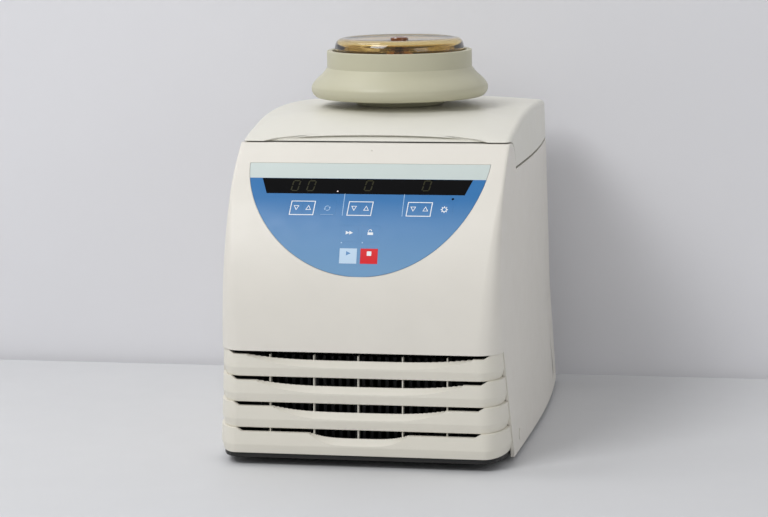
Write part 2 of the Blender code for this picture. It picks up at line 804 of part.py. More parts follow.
def scoop(name, half, top):
    """A shallow dish in a slat's upper edge: a deep arc in front that rises to a flatter one behind."""
    steps = 10
    y = front_y(top)
    slope = (SCOOP_FRONT_DROP - SCOOP_REAR_DROP) / GRILLE_WALL
    stations = ((y - OVERRUN, OVERRUN), (y + GRILLE_WALL * 2, -GRILLE_WALL * 2))
    rings = []
    for station, ahead in stations:
        drop = SCOOP_FRONT_DROP + slope * ahead
        points = []
        for k in range(steps + 1):
            part = 2 * k / steps - 1
            points.append((half * part, station, top - drop * (1 - part**2)))
        points += [(half, station, top + SLOT / 2), (-half, station, top + SLOT / 2)]
        rings.append(points)
    return loft(name, rings)


# The lid


def lid_height(y):
    """The lid's top on the centre line: the front's ellipse, a gentle fall, then the rounded rear edge."""
    if y < CROWN_Y:
        return GRILLE_TOP + RAKE_RISE * sqrt(1 - (1 - share(y, RAKE_Y, CROWN_Y)) ** 2)
    z = LID_TOP - LID_FALL * share(y, LID_FLAT_Y, DEPTH / 2) ** 2
    over = max(y - (DEPTH / 2 - LID_REAR_EDGE), 0.0)
    return z - (LID_REAR_EDGE - sqrt(max(LID_REAR_EDGE**2 - over**2, 0.0)))


def lid_x(y, z, inset):
    """Half the lid's width at (y, z), inside the front and rear corners."""
    width, reach = corner_size(z, inset)
    face = front_y(z) + inset
    front = width * (1 - sqrt(1 - (1 - share(y, face, face + reach)) ** 2))
    corner = REAR_CORNER - inset
    over = min(max(y - (DEPTH / 2 - inset - corner), 0.0), corner)
    rear = corner - sqrt(corner**2 - over**2)
    return side_x(y, z) - inset - front - rear


def lid_section(y, inset, foot):
    """An arch across the lid at y: up one side, over the rounded edges and the crown, down the other."""
    top = lid_height(y) - inset
    edge = LID_EDGE - inset
    half = []
    for part in (0.0, 0.5):
        z = mix(foot, top - edge, part)
        half.append((lid_x(y, z, inset), z))
    for k in range(CORNER_STEPS + 1):
        angle = pi / 2 * k / CORNER_STEPS
        z = top - edge * (1 - sin(angle)) - LID_CROWN
        half.append((lid_x(y, z, inset) - edge * (1 - cos(angle)), z))
    last = half[-1][0]
    half.append((last / 2, top - LID_CROWN / 4))
    right = [(x, y, z) for x, z in half]
    left = [(-x, y, z) for x, z in reversed(half)]
    return right + [(0.0, y, top)] + left


def lid_stations(start, end, edge):
    """Where the arches stand, closer together round the rear edge."""
    flat_end = end - edge
    stations = [mix(start, CROWN_Y, k / FRONT_STEPS) for k in range(FRONT_STEPS + 1)]
    stations += [mix(CROWN_Y, flat_end, k / SIDE_STEPS) for k in range(1, SIDE_STEPS + 1)]
    stations += [flat_end + edge * sin(pi / 2 * k / CORNER_STEPS) for k in range(1, CORNER_STEPS + 1)]
    return stations


def lid_form(name, inset, foot, finish=None):
    start = SEAM_FRONT_Y - OVERRUN + inset
    end = DEPTH / 2 - inset
    edge = LID_REAR_EDGE - inset / 2
    sections = [lid_section(y, inset, foot) for y in lid_stations(start, end, edge)]
    return loft(name, sections, finish, smooth=35 if finish else None)


def build_lid():
    below = below_lid()
    cover = lid_form("lid_cover", 0.0, SKIRT_Z - OVERRUN, "lid_shell")
    hollow = lid_form("lid_hollow", LID_WALL, SKIRT_Z - 2 * OVERRUN)
    cut(cover, hollow, below, grip_recess())
    liner_gap = LID_WALL + FIT_GAP
    outline = []
    z = LINER_Z + LINER_THICK
    rear = HINGE_Y - 3 * HINGE_BARREL
    start = SEAM_REAR_Y
    for k in range(SIDE_STEPS + 1):
        y = mix(start + LID_WALL, rear, k / SIDE_STEPS)
        outline.append((side_x(y, z) - liner_gap, y))
    shoulder = side_x(start, z) - FLANGE_WIDTH - FIT_GAP
    right = [(shoulder - CORNER_WIDTH / 2, LINER_FRONT_Y), (shoulder, start)] + outline
    liner = extruded("lid_liner", right + [(-x, y) for x, y in reversed(right)], "z", LINER_Z, z, "grey_liner")
    plug = turned(
        "liner_plug",
        [
            (0.0, LINER_Z + LINER_THICK / 2),
            (BOWL_RADIUS - LID_WALL, LINER_Z + LINER_THICK / 2),
            (BOWL_RADIUS - 2 * LID_WALL, LINER_Z - LINER_PLUG_DROP),
            (0.0, LINER_Z - LINER_PLUG_DROP),
        ],
        place=Matrix.Translation((0.0, CHAMBER_Y, 0.0)),
    )
    join(liner, plug)
    striker_foot = STRIKER_FOOT_Z
    top = LINER_Z - FIT_GAP
    loop = [
        (-STRIKER_HALF, LATCH_Y, top - STRIKER_ROD),
        (-STRIKER_HALF, LATCH_Y, striker_foot),
        (STRIKER_HALF, LATCH_Y, striker_foot),
        (STRIKER_HALF, LATCH_Y, top - STRIKER_ROD),
    ]
    striker = tube("lid_striker", loop, STRIKER_ROD, "stainless")
    pad = box(
        "striker_pad",
        (-STRIKER_HALF - 2 * STRIKER_ROD, LATCH_Y - 2 * STRIKER_ROD, top - STRIKER_ROD * 1.5),
        (STRIKER_HALF + 2 * STRIKER_ROD, LATCH_Y + 2 * STRIKER_ROD, top),
    )
    join(striker, pad)
    for piece in (cover, liner, striker):
        seat(piece, (0.0, HINGE_Y, HINGE_Z))


def grip_recess():
    """The shallow crescent for the fingertips in the lid's front edge."""
    rings = []
    steps = 6
    for k in range(steps + 1):
        angle = pi / 2 * k / (steps + 0.5)
        z = PARTING_FRONT_Z + GRIP_RISE * sin(angle)
        if k == 0:
            z -= PARTING_GAP
        half = GRIP_HALF * cos(angle)
        rise = (z - GRILLE_TOP) / RAKE_RISE
        lean = atan2(FRONT_RAKE * rise / sqrt(1 - rise**2), RAKE_RISE)
        outer_y = front_y(z) - OVERRUN * cos(lean)
        outer_z = z + OVERRUN * sin(lean)
        inner_y = front_y(z) + GRIP_DEPTH * cos(lean)
        inner_z = z - GRIP_DEPTH * sin(lean)
        rings.append([(-half, outer_y, outer_z), (half, outer_y, outer_z), (half, inner_y, inner_z), (-half, inner_y, inner_z)])
    return loft("grip_recess", rings)


def build_hinges():
    """Two leaves on the deck, two on the lid, and the rod through their knuckles."""
    third = HINGE_KNUCKLE / 3
    rod_end = HINGE_X + HINGE_KNUCKLE
    cylinder("hinge_rod", HINGE_ROD, (-rod_end, HINGE_Y, HINGE_Z), (rod_end, HINGE_Y, HINGE_Z), "stainless", 12)
    deck = FLANGE_Z
    web = DEPTH / 2 - FLANGE_WIDTH - FIT_GAP
    for side, word in ((-1, "left"), (1, "right")):
        centre = side * HINGE_X
        fixed = extruded(
            "hinge_bracket_" + word,
            [
                (HINGE_Y - HINGE_REACH, deck),
                (web, deck),
                (web, HINGE_RECESS_Z + FIT_GAP),
                (HINGE_Y - HINGE_NECK, HINGE_Z - HINGE_BARREL * 0.9),
                (HINGE_Y - HINGE_BARREL * 0.9, HINGE_Z),
                (web - HINGE_LEAF, deck + HINGE_LEAF),
                (HINGE_Y - HINGE_REACH, deck + HINGE_LEAF),
            ],
            "x",
            centre - third / 2,
            centre + third / 2,
            "zinc_steel",
        )
        barrel = cylinder(
            "bracket_barrel_" + word,
            HINGE_BARREL,
            (centre - third / 2, HINGE_Y, HINGE_Z),
            (centre + third / 2, HINGE_Y, HINGE_Z),
        )
        bore = cylinder(
            "hinge_bore_" + word,
            HINGE_BORE,
            (centre - HINGE_KNUCKLE, HINGE_Y, HINGE_Z),
            (centre + HINGE_KNUCKLE, HINGE_Y, HINGE_Z),
            sides=12,
        )
        join(fixed, barrel)
        cut(fixed, bore)
        top = LINER_Z + LINER_THICK + FIT_GAP
        arm = extruded(
            "hinge_arm_" + word,
            [
                (HINGE_Y - HINGE_BARREL * 0.8, HINGE_Z - HINGE_BARREL * 0.4),
                (HINGE_Y + HINGE_BARREL * 0.3, HINGE_Z + HINGE_BARREL * 0.9),
                (HINGE_Y - HINGE_BARREL * 2.4, top + HINGE_LEAF),
                (HINGE_Y - 2 * HINGE_REACH, top + HINGE_LEAF),
                (HINGE_Y - 2 * HINGE_REACH, top),
                (HINGE_Y - HINGE_BARREL * 2.6, top),
                (HINGE_Y - HINGE_BARREL * 0.95, HINGE_Z),
            ],
            "x",
            centre - HINGE_KNUCKLE / 2,
            centre + HINGE_KNUCKLE / 2,
            "zinc_steel",
        )
        arm_barrel = cylinder(
            "arm_barrel_" + word,
            HINGE_BARREL,
            (centre - HINGE_KNUCKLE / 2, HINGE_Y, HINGE_Z),
            (centre + HINGE_KNUCKLE / 2, HINGE_Y, HINGE_Z),
        )
        notch = box(
            "arm_notch_" + word,
            (centre - third / 2 - FIT_GAP, HINGE_Y - HINGE_BARREL * 2, HINGE_Z - 2 * HINGE_BARREL),
            (centre + third / 2 + FIT_GAP, HINGE_Y + HINGE_BARREL * 2, HINGE_Z + 2 * HINGE_BARREL),
        )
        join(arm, arm_barrel)
        cut(arm, notch, bore)
        seat(arm, (centre, HINGE_Y, HINGE_Z))


# The chamber


def build_chamber():
    place = Matrix.Translation((0.0, CHAMBER_Y, 0.0))
    deck_top = FLANGE_Z - FIT_GAP
    deck_foot = deck_top - DECK_THICK
    collar_in = BOWL_RADIUS + BOWL_WALL + FIT_GAP
    collar_out = collar_in + COLLAR_WIDTH
    deck = loft("top_deck", [ring(z, WALL + FIT_GAP) for z in (deck_foot, deck_top)], "grey_liner")
    collar = turned(
        "deck_collar",
        [(collar_in, COLLAR_Z), (collar_out, COLLAR_Z), (collar_out, deck_foot), (collar_in, deck_foot)],
        place=place,
        closed=True,
    )
    hole = cylinder(
        "deck_hole", collar_in + COLLAR_WIDTH / 2, (0.0, CHAMBER_Y, deck_foot - OVERRUN), (0.0, CHAMBER_Y, deck_top + OVERRUN), sides=ROUND
    )
    mouth = box(
        "latch_mouth",
        (-STRIKER_HALF - 2 * STRIKER_ROD, LATCH_Y - 2 * STRIKER_ROD, deck_foot - OVERRUN),
        (STRIKER_HALF + 2 * STRIKER_ROD, LATCH_Y + 2 * STRIKER_ROD, deck_top + OVERRUN),
    )
    cut(deck, hole)
    join(deck, collar)
    cut(deck, mouth)

    lip = collar_in + COLLAR_WIDTH / 3
    rim_z = COLLAR_Z + FIT_GAP
    outer = BOWL_RADIUS + BOWL_WALL
    floor = BOWL_FLOOR_Z
    spindle_hole = SPINDLE_RADIUS + 2 * BOWL_WALL
    bowl = [(BOWL_RADIUS, rim_z + BOWL_WALL), (lip, rim_z + BOWL_WALL), (lip, rim_z), (outer, rim_z)]
    bowl += fillet(outer, floor - BOWL_WALL, BOWL_FILLET + BOWL_WALL)
    bowl += [(spindle_hole, floor - BOWL_WALL), (spindle_hole, floor)]
    bowl += list(reversed(fillet(BOWL_RADIUS, floor, BOWL_FILLET)))
    turned("chamber_bowl", bowl, "stainless", place, closed=True)

    seal_in, seal_out = lip + FIT_GAP, collar_out
    seal_top = LINER_Z - FIT_GAP
    middle = (seal_in + seal_out) / 2
    seal = [(seal_in, rim_z), (middle, seal_top), (seal_out, seal_top - BOWL_WALL), (seal_out, rim_z)]
    turned("chamber_gasket", seal, "rubber", place, closed=True)

    per_turn = 24
    coil_radius = (outer + FIT_GAP + COIL_TUBE) / cos(pi / per_turn)
    foam_in = (coil_radius + COIL_TUBE + FIT_GAP) / cos(pi / FOAM_SIDES)
    foam_out = foam_in + FOAM_WALL
    foam_foot = PLATE_Z + PLATE_THICK + FIT_GAP
    foam_floor = floor - BOWL_WALL - FIT_GAP
    foam = [
        (foam_in, FOAM_TOP_Z),
        (foam_out, FOAM_TOP_Z),
        (foam_out, foam_foot),
        (spindle_hole + FOAM_WALL / 2, foam_foot),
        (spindle_hole + FOAM_WALL / 2, foam_floor),
        (foam_in, foam_floor),
    ]
    notch = latch_notch()
    cut(turned("chamber_insulation", foam, "foam", place, closed=True, sides=FOAM_SIDES), notch)
    armour_in = foam_out + FIT_GAP
    armour = [
        (armour_in, FOAM_TOP_Z),
        (armour_in + ARMOUR_WALL, FOAM_TOP_Z),
        (armour_in + ARMOUR_WALL, foam_foot),
        (armour_in, foam_foot),
    ]
    cut(turned("armour_ring", armour, "zinc_steel", place, closed=True, sides=FOAM_SIDES), notch)

    points = []
    for k in range(COIL_TURNS * per_turn + 1):
        angle = tau * k / per_turn
        z = COIL_START_Z + COIL_PITCH * k / per_turn
        points.append((coil_radius * cos(angle), CHAMBER_Y + coil_radius * sin(angle), z))
    gap = COIL_PITCH - 2 * COIL_TUBE
    print(f"least gap between the evaporator's turns {gap * 1000:.2f} mm")
    tube("evaporator_coil", points, COIL_TUBE, "copper", 1)


def latch_notch():
    """The space kept clear for the latch case beside the chamber."""
    gap = 2 * FIT_GAP
    half_x, half_y = LATCH_HALF_X + gap, LATCH_HALF_Y + gap
    foot = FLANGE_Z - DECK_THICK - LATCH_DEPTH - 2 * FIT_GAP - gap
    return box("latch_notch", (-half_x, LATCH_Y - half_y, foot), (half_x, LATCH_Y + half_y, FLANGE_Z))


def fillet(radius, floor, size):
    """Points of the round between a wall going down at radius and a floor going in."""
    steps = 4
    points = []
    for k in range(steps + 1):
        angle = pi / 2 * k / steps
        points.append((radius - size * (1 - cos(angle)), floor + size * (1 - sin(angle))))
    return points


# Chassis, drive and cooling


def pan_ring(z, inset):
    inset += GRILLE_STEP_BACK + GRILLE_WALL + FIT_GAP
    rear = DEPTH / 2 - WALL - FIT_GAP - (inset - GRILLE_STEP_BACK - GRILLE_WALL - FIT_GAP)
    return ring(z, inset, rear)


def build_chassis():
    low = PAN_Z
    high = PAN_Z + PAN_RIM
    pan = loft("base_pan", [pan_ring(z, 0.0) for z in (low, GRILLE_BOTTOM, high)], "black_steel")
    inside = loft("pan_inside", [pan_ring(z, PAN_SHEET) for z in (low + PAN_SHEET, GRILLE_BOTTOM, high + OVERRUN)])
    cut(pan, inside)
    floor = low + PAN_SHEET + FIT_GAP
    for side_name, x in (("left", -FOOT_INSET_X), ("right", FOOT_INSET_X)):
        for end_name, y in (("front", FOOT_FRONT_Y), ("rear", FOOT_REAR_Y)):
            top = PAN_Z - FIT_GAP
            foot = [(0.0, top), (FOOT_RADIUS, top), (FOOT_RADIUS * 0.85, 0.0), (0.0, 0.0)]
            turned(f"foot_{end_name}_{side_name}", foot, "rubber", Matrix.Translation((x, y, 0.0)), sides=SMALL_ROUND)

    frame = box(
        "chassis_frame",
        (-PLATE_HALF_X, CHAMBER_Y - PLATE_HALF_Y, PLATE_Z),
        (PLATE_HALF_X, CHAMBER_Y + PLATE_HALF_Y, PLATE_Z + PLATE_THICK),
        "zinc_steel",
    )
    cut(frame, cylinder("plate_hole", PLATE_HOLE, (0.0, CHAMBER_Y, PLATE_Z - OVERRUN), (0.0, CHAMBER_Y, PLATE_Z + OVERRUN), sides=ROUND))
    inset = POST
    for sx in (-1, 1):
        for sy in (-1, 1):
            x = sx * (PLATE_HALF_X - inset)
            y = CHAMBER_Y + sy * (PLATE_HALF_Y - inset)
            post = box(f"post_{sx}_{sy}", (x - POST / 2, y - POST / 2, floor), (x + POST / 2, y + POST / 2, PLATE_Z + PLATE_THICK / 2))
            join(frame, post)


def build_drive():
    place = Matrix.Translation((0.0, CHAMBER_Y, 0.0))
    body, foot, top = MOTOR_RADIUS, MOTOR_FOOT_Z, MOTOR_TOP_Z
    bell = body * 0.8
    bore = SPINDLE_RADIUS + 2 * FIT_GAP
    socket = top - SPINDLE_SOCKET
    motor = [
        (0.0, socket),
        (bore, socket),
        (bore, top),
        (MOTOR_FLANGE, top),
        (MOTOR_FLANGE, top - 2 * LID_WALL),
        (bell, top - 2 * LID_WALL),
        (body, top - 5 * LID_WALL),
        (body, foot + 5 * LID_WALL),
        (bell, foot),
        (0.0, foot),
    ]
    turned("motor", motor, "motor_paint", place, sides=32)
    for k in range(3):
        angle = tau * k / 3 + pi / 2
        spot = Matrix.Translation((BUFFER_CIRCLE * cos(angle), CHAMBER_Y + BUFFER_CIRCLE * sin(angle), 0.0))
        low, high = top + FIT_GAP, PLATE_Z - FIT_GAP
        waist = BUFFER_RADIUS * 0.8
        profile = [(0.0, high), (BUFFER_RADIUS, high), (waist, (low + high) / 2), (BUFFER_RADIUS, low), (0.0, low)]
        turned(f"motor_buffer_{k + 1}", profile, "rubber", spot, sides=SMALL_ROUND)
    tip = SPINDLE_RADIUS * 0.7
    shaft = [
        (0.0, SPINDLE_TOP_Z),
        (tip * 0.8, SPINDLE_TOP_Z),
        (tip, SPINDLE_TOP_Z - 2 * BOWL_WALL),
        (tip, SPINDLE_TOP_Z - SPINDLE_SOCKET),
        (SPINDLE_RADIUS, BOWL_FLOOR_Z + SPINDLE_SOCKET / 2),
        (SPINDLE_RADIUS, socket + FIT_GAP),
        (0.0, socket + FIT_GAP),
    ]
    spindle = turned("drive_spindle", shaft, "stainless", place, sides=SMALL_ROUND)
    pin_z = SPINDLE_TOP_Z - SPINDLE_SOCKET
    reach = SPINDLE_RADIUS * 1.5
    pin = cylinder("spindle_pin", BOWL_WALL * 1.5, (-reach, CHAMBER_Y, pin_z), (reach, CHAMBER_Y, pin_z), sides=8)
    join(spindle, pin)


def build_cooling():
    place = Matrix.Translation((COMPRESSOR_X, COMPRESSOR_Y, 0.0))
    foot = COMPRESSOR_FOOT_Z
    radius = COMPRESSOR_RADIUS
    top = foot + COMPRESSOR_HEIGHT
    dome = radius * 0.45
    profile = [(0.0, top)]
    for k in range(1, CORNER_STEPS + 1):
        angle = pi / 2 * k / CORNER_STEPS
        profile.append((radius * sin(angle), top - dome * (1 - cos(angle))))
    profile += [(radius, foot + dome / 2), (radius * 0.85, foot), (0.0, foot)]
    pot = turned("compressor", profile, "black_steel", place, sides=32)
    sheet = LID_WALL
    half = radius * 0.98
    plate = box(
        "compressor_plate",
        (COMPRESSOR_X - half, COMPRESSOR_Y - half, foot - sheet),
        (COMPRESSOR_X + half, COMPRESSOR_Y + half, foot + sheet / 2),
    )
    join(pot, plate)
    floor = PAN_Z + PAN_SHEET + FIT_GAP
    for sx in (-1, 1):
        for sy in (-1, 1):
            x = COMPRESSOR_X + sx * half * 0.85
            y = COMPRESSOR_Y + sy * half * 0.85
            join(pot, cylinder(f"grommet_{sx}_{sy}", BUFFER_RADIUS, (x, y, floor), (x, y, foot - sheet / 2), sides=12))

    near, deep = CONDENSER_FRONT_Y, CONDENSER_DEPTH
    pitch = 2 * CONDENSER_HALF / CONDENSER_FINS
    fin = pitch * 0.4
    outline = [(-CONDENSER_HALF, near + deep), (-CONDENSER_HALF, near)]
    for k in range(CONDENSER_FINS - 1):
        x = -CONDENSER_HALF + pitch * k + fin
        outline += [(x, near), (x, near + deep * 0.7), (x + pitch - fin, near + deep * 0.7), (x + pitch - fin, near)]
    outline += [(CONDENSER_HALF, near), (CONDENSER_HALF, near + deep)]
    extruded("condenser", outline, "z", CONDENSER_FOOT_Z, CONDENSER_TOP_Z, "aluminium_fins")

    back = near + deep + FIT_GAP
    ring_in = FAN_RADIUS + LID_WALL
    ring_out = ring_in + SHROUD_SHEET
    duct_end = back + DEPTH / 20
    shroud = box("fan_shroud", (-CONDENSER_HALF, back, CONDENSER_FOOT_Z), (CONDENSER_HALF, back + SHROUD_SHEET, CONDENSER_TOP_Z), "black_plastic")
    join(shroud, cylinder("duct", ring_out, (0.0, back, FAN_Z), (0.0, duct_end, FAN_Z), sides=32))
    cut(shroud, cylinder("duct_bore", ring_in, (0.0, back - OVERRUN, FAN_Z), (0.0, duct_end + OVERRUN, FAN_Z), sides=32))
    bar = SHROUD_SHEET * 2
    bar_back = duct_end + bar
    for name, half_x, half_z in (("bar_across", ring_out, bar), ("bar_up", bar, ring_out)):
        join(shroud, box(name, (-half_x, duct_end - bar / 2, FAN_Z - half_z), (half_x, bar_back, FAN_Z + half_z)))
    motor_start = bar_back + FIT_GAP
    motor_end = motor_start + FAN_MOTOR_RADIUS * 1.4
    cylinder("fan_motor", FAN_MOTOR_RADIUS, (0.0, motor_start, FAN_Z), (0.0, motor_end, FAN_Z), "motor_paint")
    fan_blades(back + SHROUD_SHEET + LID_WALL, duct_end - bar / 2 - FIT_GAP)

    slant = radians(-35)
    level = foot + COMPRESSOR_HEIGHT / 2
    run_x = PLATE_HALF_X
    end_y = near + deep / 2
    points = []
    for reach in (radius + 2 * FIT_GAP, radius * 1.35):
        points.append((COMPRESSOR_X + reach * cos(slant), COMPRESSOR_Y + reach * sin(slant), level))
    points += [(run_x, CHAMBER_Y + radius, level), (run_x, end_y + deep * 1.5, level), (run_x - deep / 3, end_y, level)]
    points += [(CONDENSER_HALF + 2 * FIT_GAP, end_y, level)]
    tube("refrigerant_pipe", points, PIPE_RADIUS, "copper")


def fan_blades(start, end):
    """Hub and twisted blades of the condenser fan, on the Y axis."""
    hub = FAN_MOTOR_RADIUS * 0.7
    middle = (start + end) / 2
    fan = cylinder("condenser_fan", hub, (0.0, start, FAN_Z), (0.0, end, FAN_Z), "black_plastic")
    sheet = SHROUD_SHEET / 2
    for k in range(FAN_BLADES):
        turn = tau * k / FAN_BLADES
        rings = []
        for radius, pitch in ((hub * 0.8, radians(38)), (FAN_RADIUS, radians(22))):
            chord = radius * 0.55 + hub * 0.4
            lean = (end - start) / 2 * 0.85
            points = []
            for along, through in ((-1, -1), (1, -1), (1, 1), (-1, 1)):
                wide = along * chord / 2
                deep = max(min(wide * sin(pitch), lean), -lean) + through * sheet
                points.append(Matrix.Rotation(turn, 3, "Y") @ Vector((wide, deep, radius)))
            rings.append([(p.x, middle + p.y, FAN_Z + p.z) for p in points])
        join(fan, loft(f"blade_{k}", rings))
    return fan


def build_electrics():
    floor = PAN_Z + PAN_SHEET + FIT_GAP
    sheet = PAN_SHEET
    board_z = floor + 4 * sheet
    low = Vector((BOARD_LEFT, BOARD_FRONT, board_z))
    high = Vector((BOARD_LEFT + BOARD_WIDTH, BOARD_FRONT + BOARD_LENGTH, board_z + sheet))
    board = box("power_board", low, high, "board_green")
    size = high - low
    blocks = ((0.05, 0.10, 0.45, 0.45, 0.035), (0.55, 0.12, 0.95, 0.40, 0.022), (0.10, 0.60, 0.40, 0.92, 0.028), (0.50, 0.55, 0.92, 0.90, 0.016))
    for k, (x0, y0, x1, y1, tall_share) in enumerate(blocks):
        corner = (low.x + size.x * x0, low.y + size.y * y0, low.z + sheet / 2)
        far = (low.x + size.x * x1, low.y + size.y * y1, high.z + DEPTH * tall_share)
        join(board, box(f"component_{k}", corner, far))
    for k, (sx, sy) in enumerate(((0.04, 0.04), (0.96, 0.04), (0.04, 0.96), (0.96, 0.96))):
        x, y = low.x + size.x * sx, low.y + size.y * sy
        join(board, cylinder(f"standoff_{k}", 2 * sheet, (x, y, floor), (x, y, low.z + sheet / 2), sides=8))

    inner = -BOARD_SETBACK
    half = DISPLAY_HALF_FOOT
    foot = PUSH_ROW
    panel_pad("display_board", -half, half, foot, DISPLAY_FOOT - foot, inner, inner - sheet, "board_green", steps=1)

    cover_in = DEPTH / 2 - WALL - FIT_GAP
    outer_y = DEPTH / 2
    rim = WALL
    inlet = box(
        "power_inlet",
        (INLET_X - INLET_HALF_X - rim, cover_in - 6 * rim, INLET_Z - INLET_HALF_Z - rim),
        (INLET_X + INLET_HALF_X + rim, outer_y, INLET_Z + INLET_HALF_Z + rim),
        "black_plastic",
    )
    socket = box(
        "inlet_socket",
        (INLET_X - INLET_HALF_X, outer_y - 5 * rim, INLET_Z - INLET_HALF_Z),
        (INLET_X + INLET_HALF_X, outer_y + OVERRUN, INLET_Z + INLET_HALF_Z),
    )
    cut(inlet, socket)
    for k, (sx, sz) in enumerate(((-0.5, -0.25), (0.0, 0.35), (0.5, -0.25))):
        x, z = INLET_X + INLET_HALF_X * sx, INLET_Z + INLET_HALF_Z * sz
        blade = box(f"inlet_pin_{k}", (x - rim / 4, outer_y - 5.5 * rim, z - rim / 2), (x + rim / 4, outer_y - rim, z + rim / 2))
        join(inlet, blade)

    half_x, half_z = SWITCH_HALF_X - 2 * FIT_GAP, SWITCH_HALF_Z - 2 * FIT_GAP
    rocker = [
        (outer_y - 4 * rim, INLET_Z - half_z * 0.8),
        (outer_y - rim / 2, INLET_Z - half_z * 0.8),
        (outer_y - rim, INLET_Z),
        (outer_y - rim / 2, INLET_Z + half_z * 0.8),
        (outer_y - 4 * rim, INLET_Z + half_z * 0.8),
    ]
    switch = extruded("power_switch", rocker, "x", SWITCH_X - half_x, SWITCH_X + half_x, "black_plastic")
    seat(switch, (SWITCH_X, outer_y - 3 * rim, INLET_Z)).rotation_euler.x = SWITCH_TILT


def build_latch():
    """A latch case under the deck, its hook, and the plug over the release cord."""
    top = FLANGE_Z - FIT_GAP - DECK_THICK - FIT_GAP
    foot = top - LATCH_DEPTH
    wall = DECK_THICK / 2
    case = box(
        "latch_case",
        (-LATCH_HALF_X, LATCH_Y - LATCH_HALF_Y, foot),
        (LATCH_HALF_X, LATCH_Y + LATCH_HALF_Y, top),
        "zinc_steel",
    )
    pocket = box(
        "latch_pocket",
        (-LATCH_HALF_X + wall, LATCH_Y - LATCH_HALF_Y + wall, foot + wall),
        (LATCH_HALF_X - wall, LATCH_Y + LATCH_HALF_Y - wall, top + OVERRUN),
    )
    cut(case, pocket)
    pivot_z = foot + LATCH_DEPTH * 0.3
    pivot_y = LATCH_Y + STRIKER_ROD + HOOK_HALF + 2 * FIT_GAP
    over_bar = STRIKER_FOOT_Z + STRIKER_ROD + 2 * FIT_GAP
    tip_y = LATCH_Y - STRIKER_ROD / 3
    hook = [
        (pivot_y - HOOK_HALF, pivot_z - STRIKER_ROD),
        (pivot_y + HOOK_HALF, pivot_z - STRIKER_ROD),
        (pivot_y + HOOK_HALF, over_bar + STRIKER_ROD),
        (tip_y, over_bar + STRIKER_ROD),
        (tip_y, over_bar),
        (pivot_y - HOOK_HALF, over_bar),
    ]
    latch = extruded("latch_hook", hook, "x", -HOOK_HALF, HOOK_HALF, "stainless")
    reach = LATCH_HALF_X - wall - FIT_GAP
    join(latch, cylinder("hook_pivot", STRIKER_ROD, (-reach, pivot_y, pivot_z), (reach, pivot_y, pivot_z), sides=12))
    seat(latch, (0.0, pivot_y, pivot_z)).rotation_euler.x = -LATCH_SWING

    outer = side_x(PLUG_Y, PLUG_Z)
    head = FIT_GAP * 2
    cylinder("release_plug", PLUG_RADIUS, (outer - WALL, PLUG_Y, PLUG_Z), (outer + head, PLUG_Y, PLUG_Z), "cream_shell", 16)


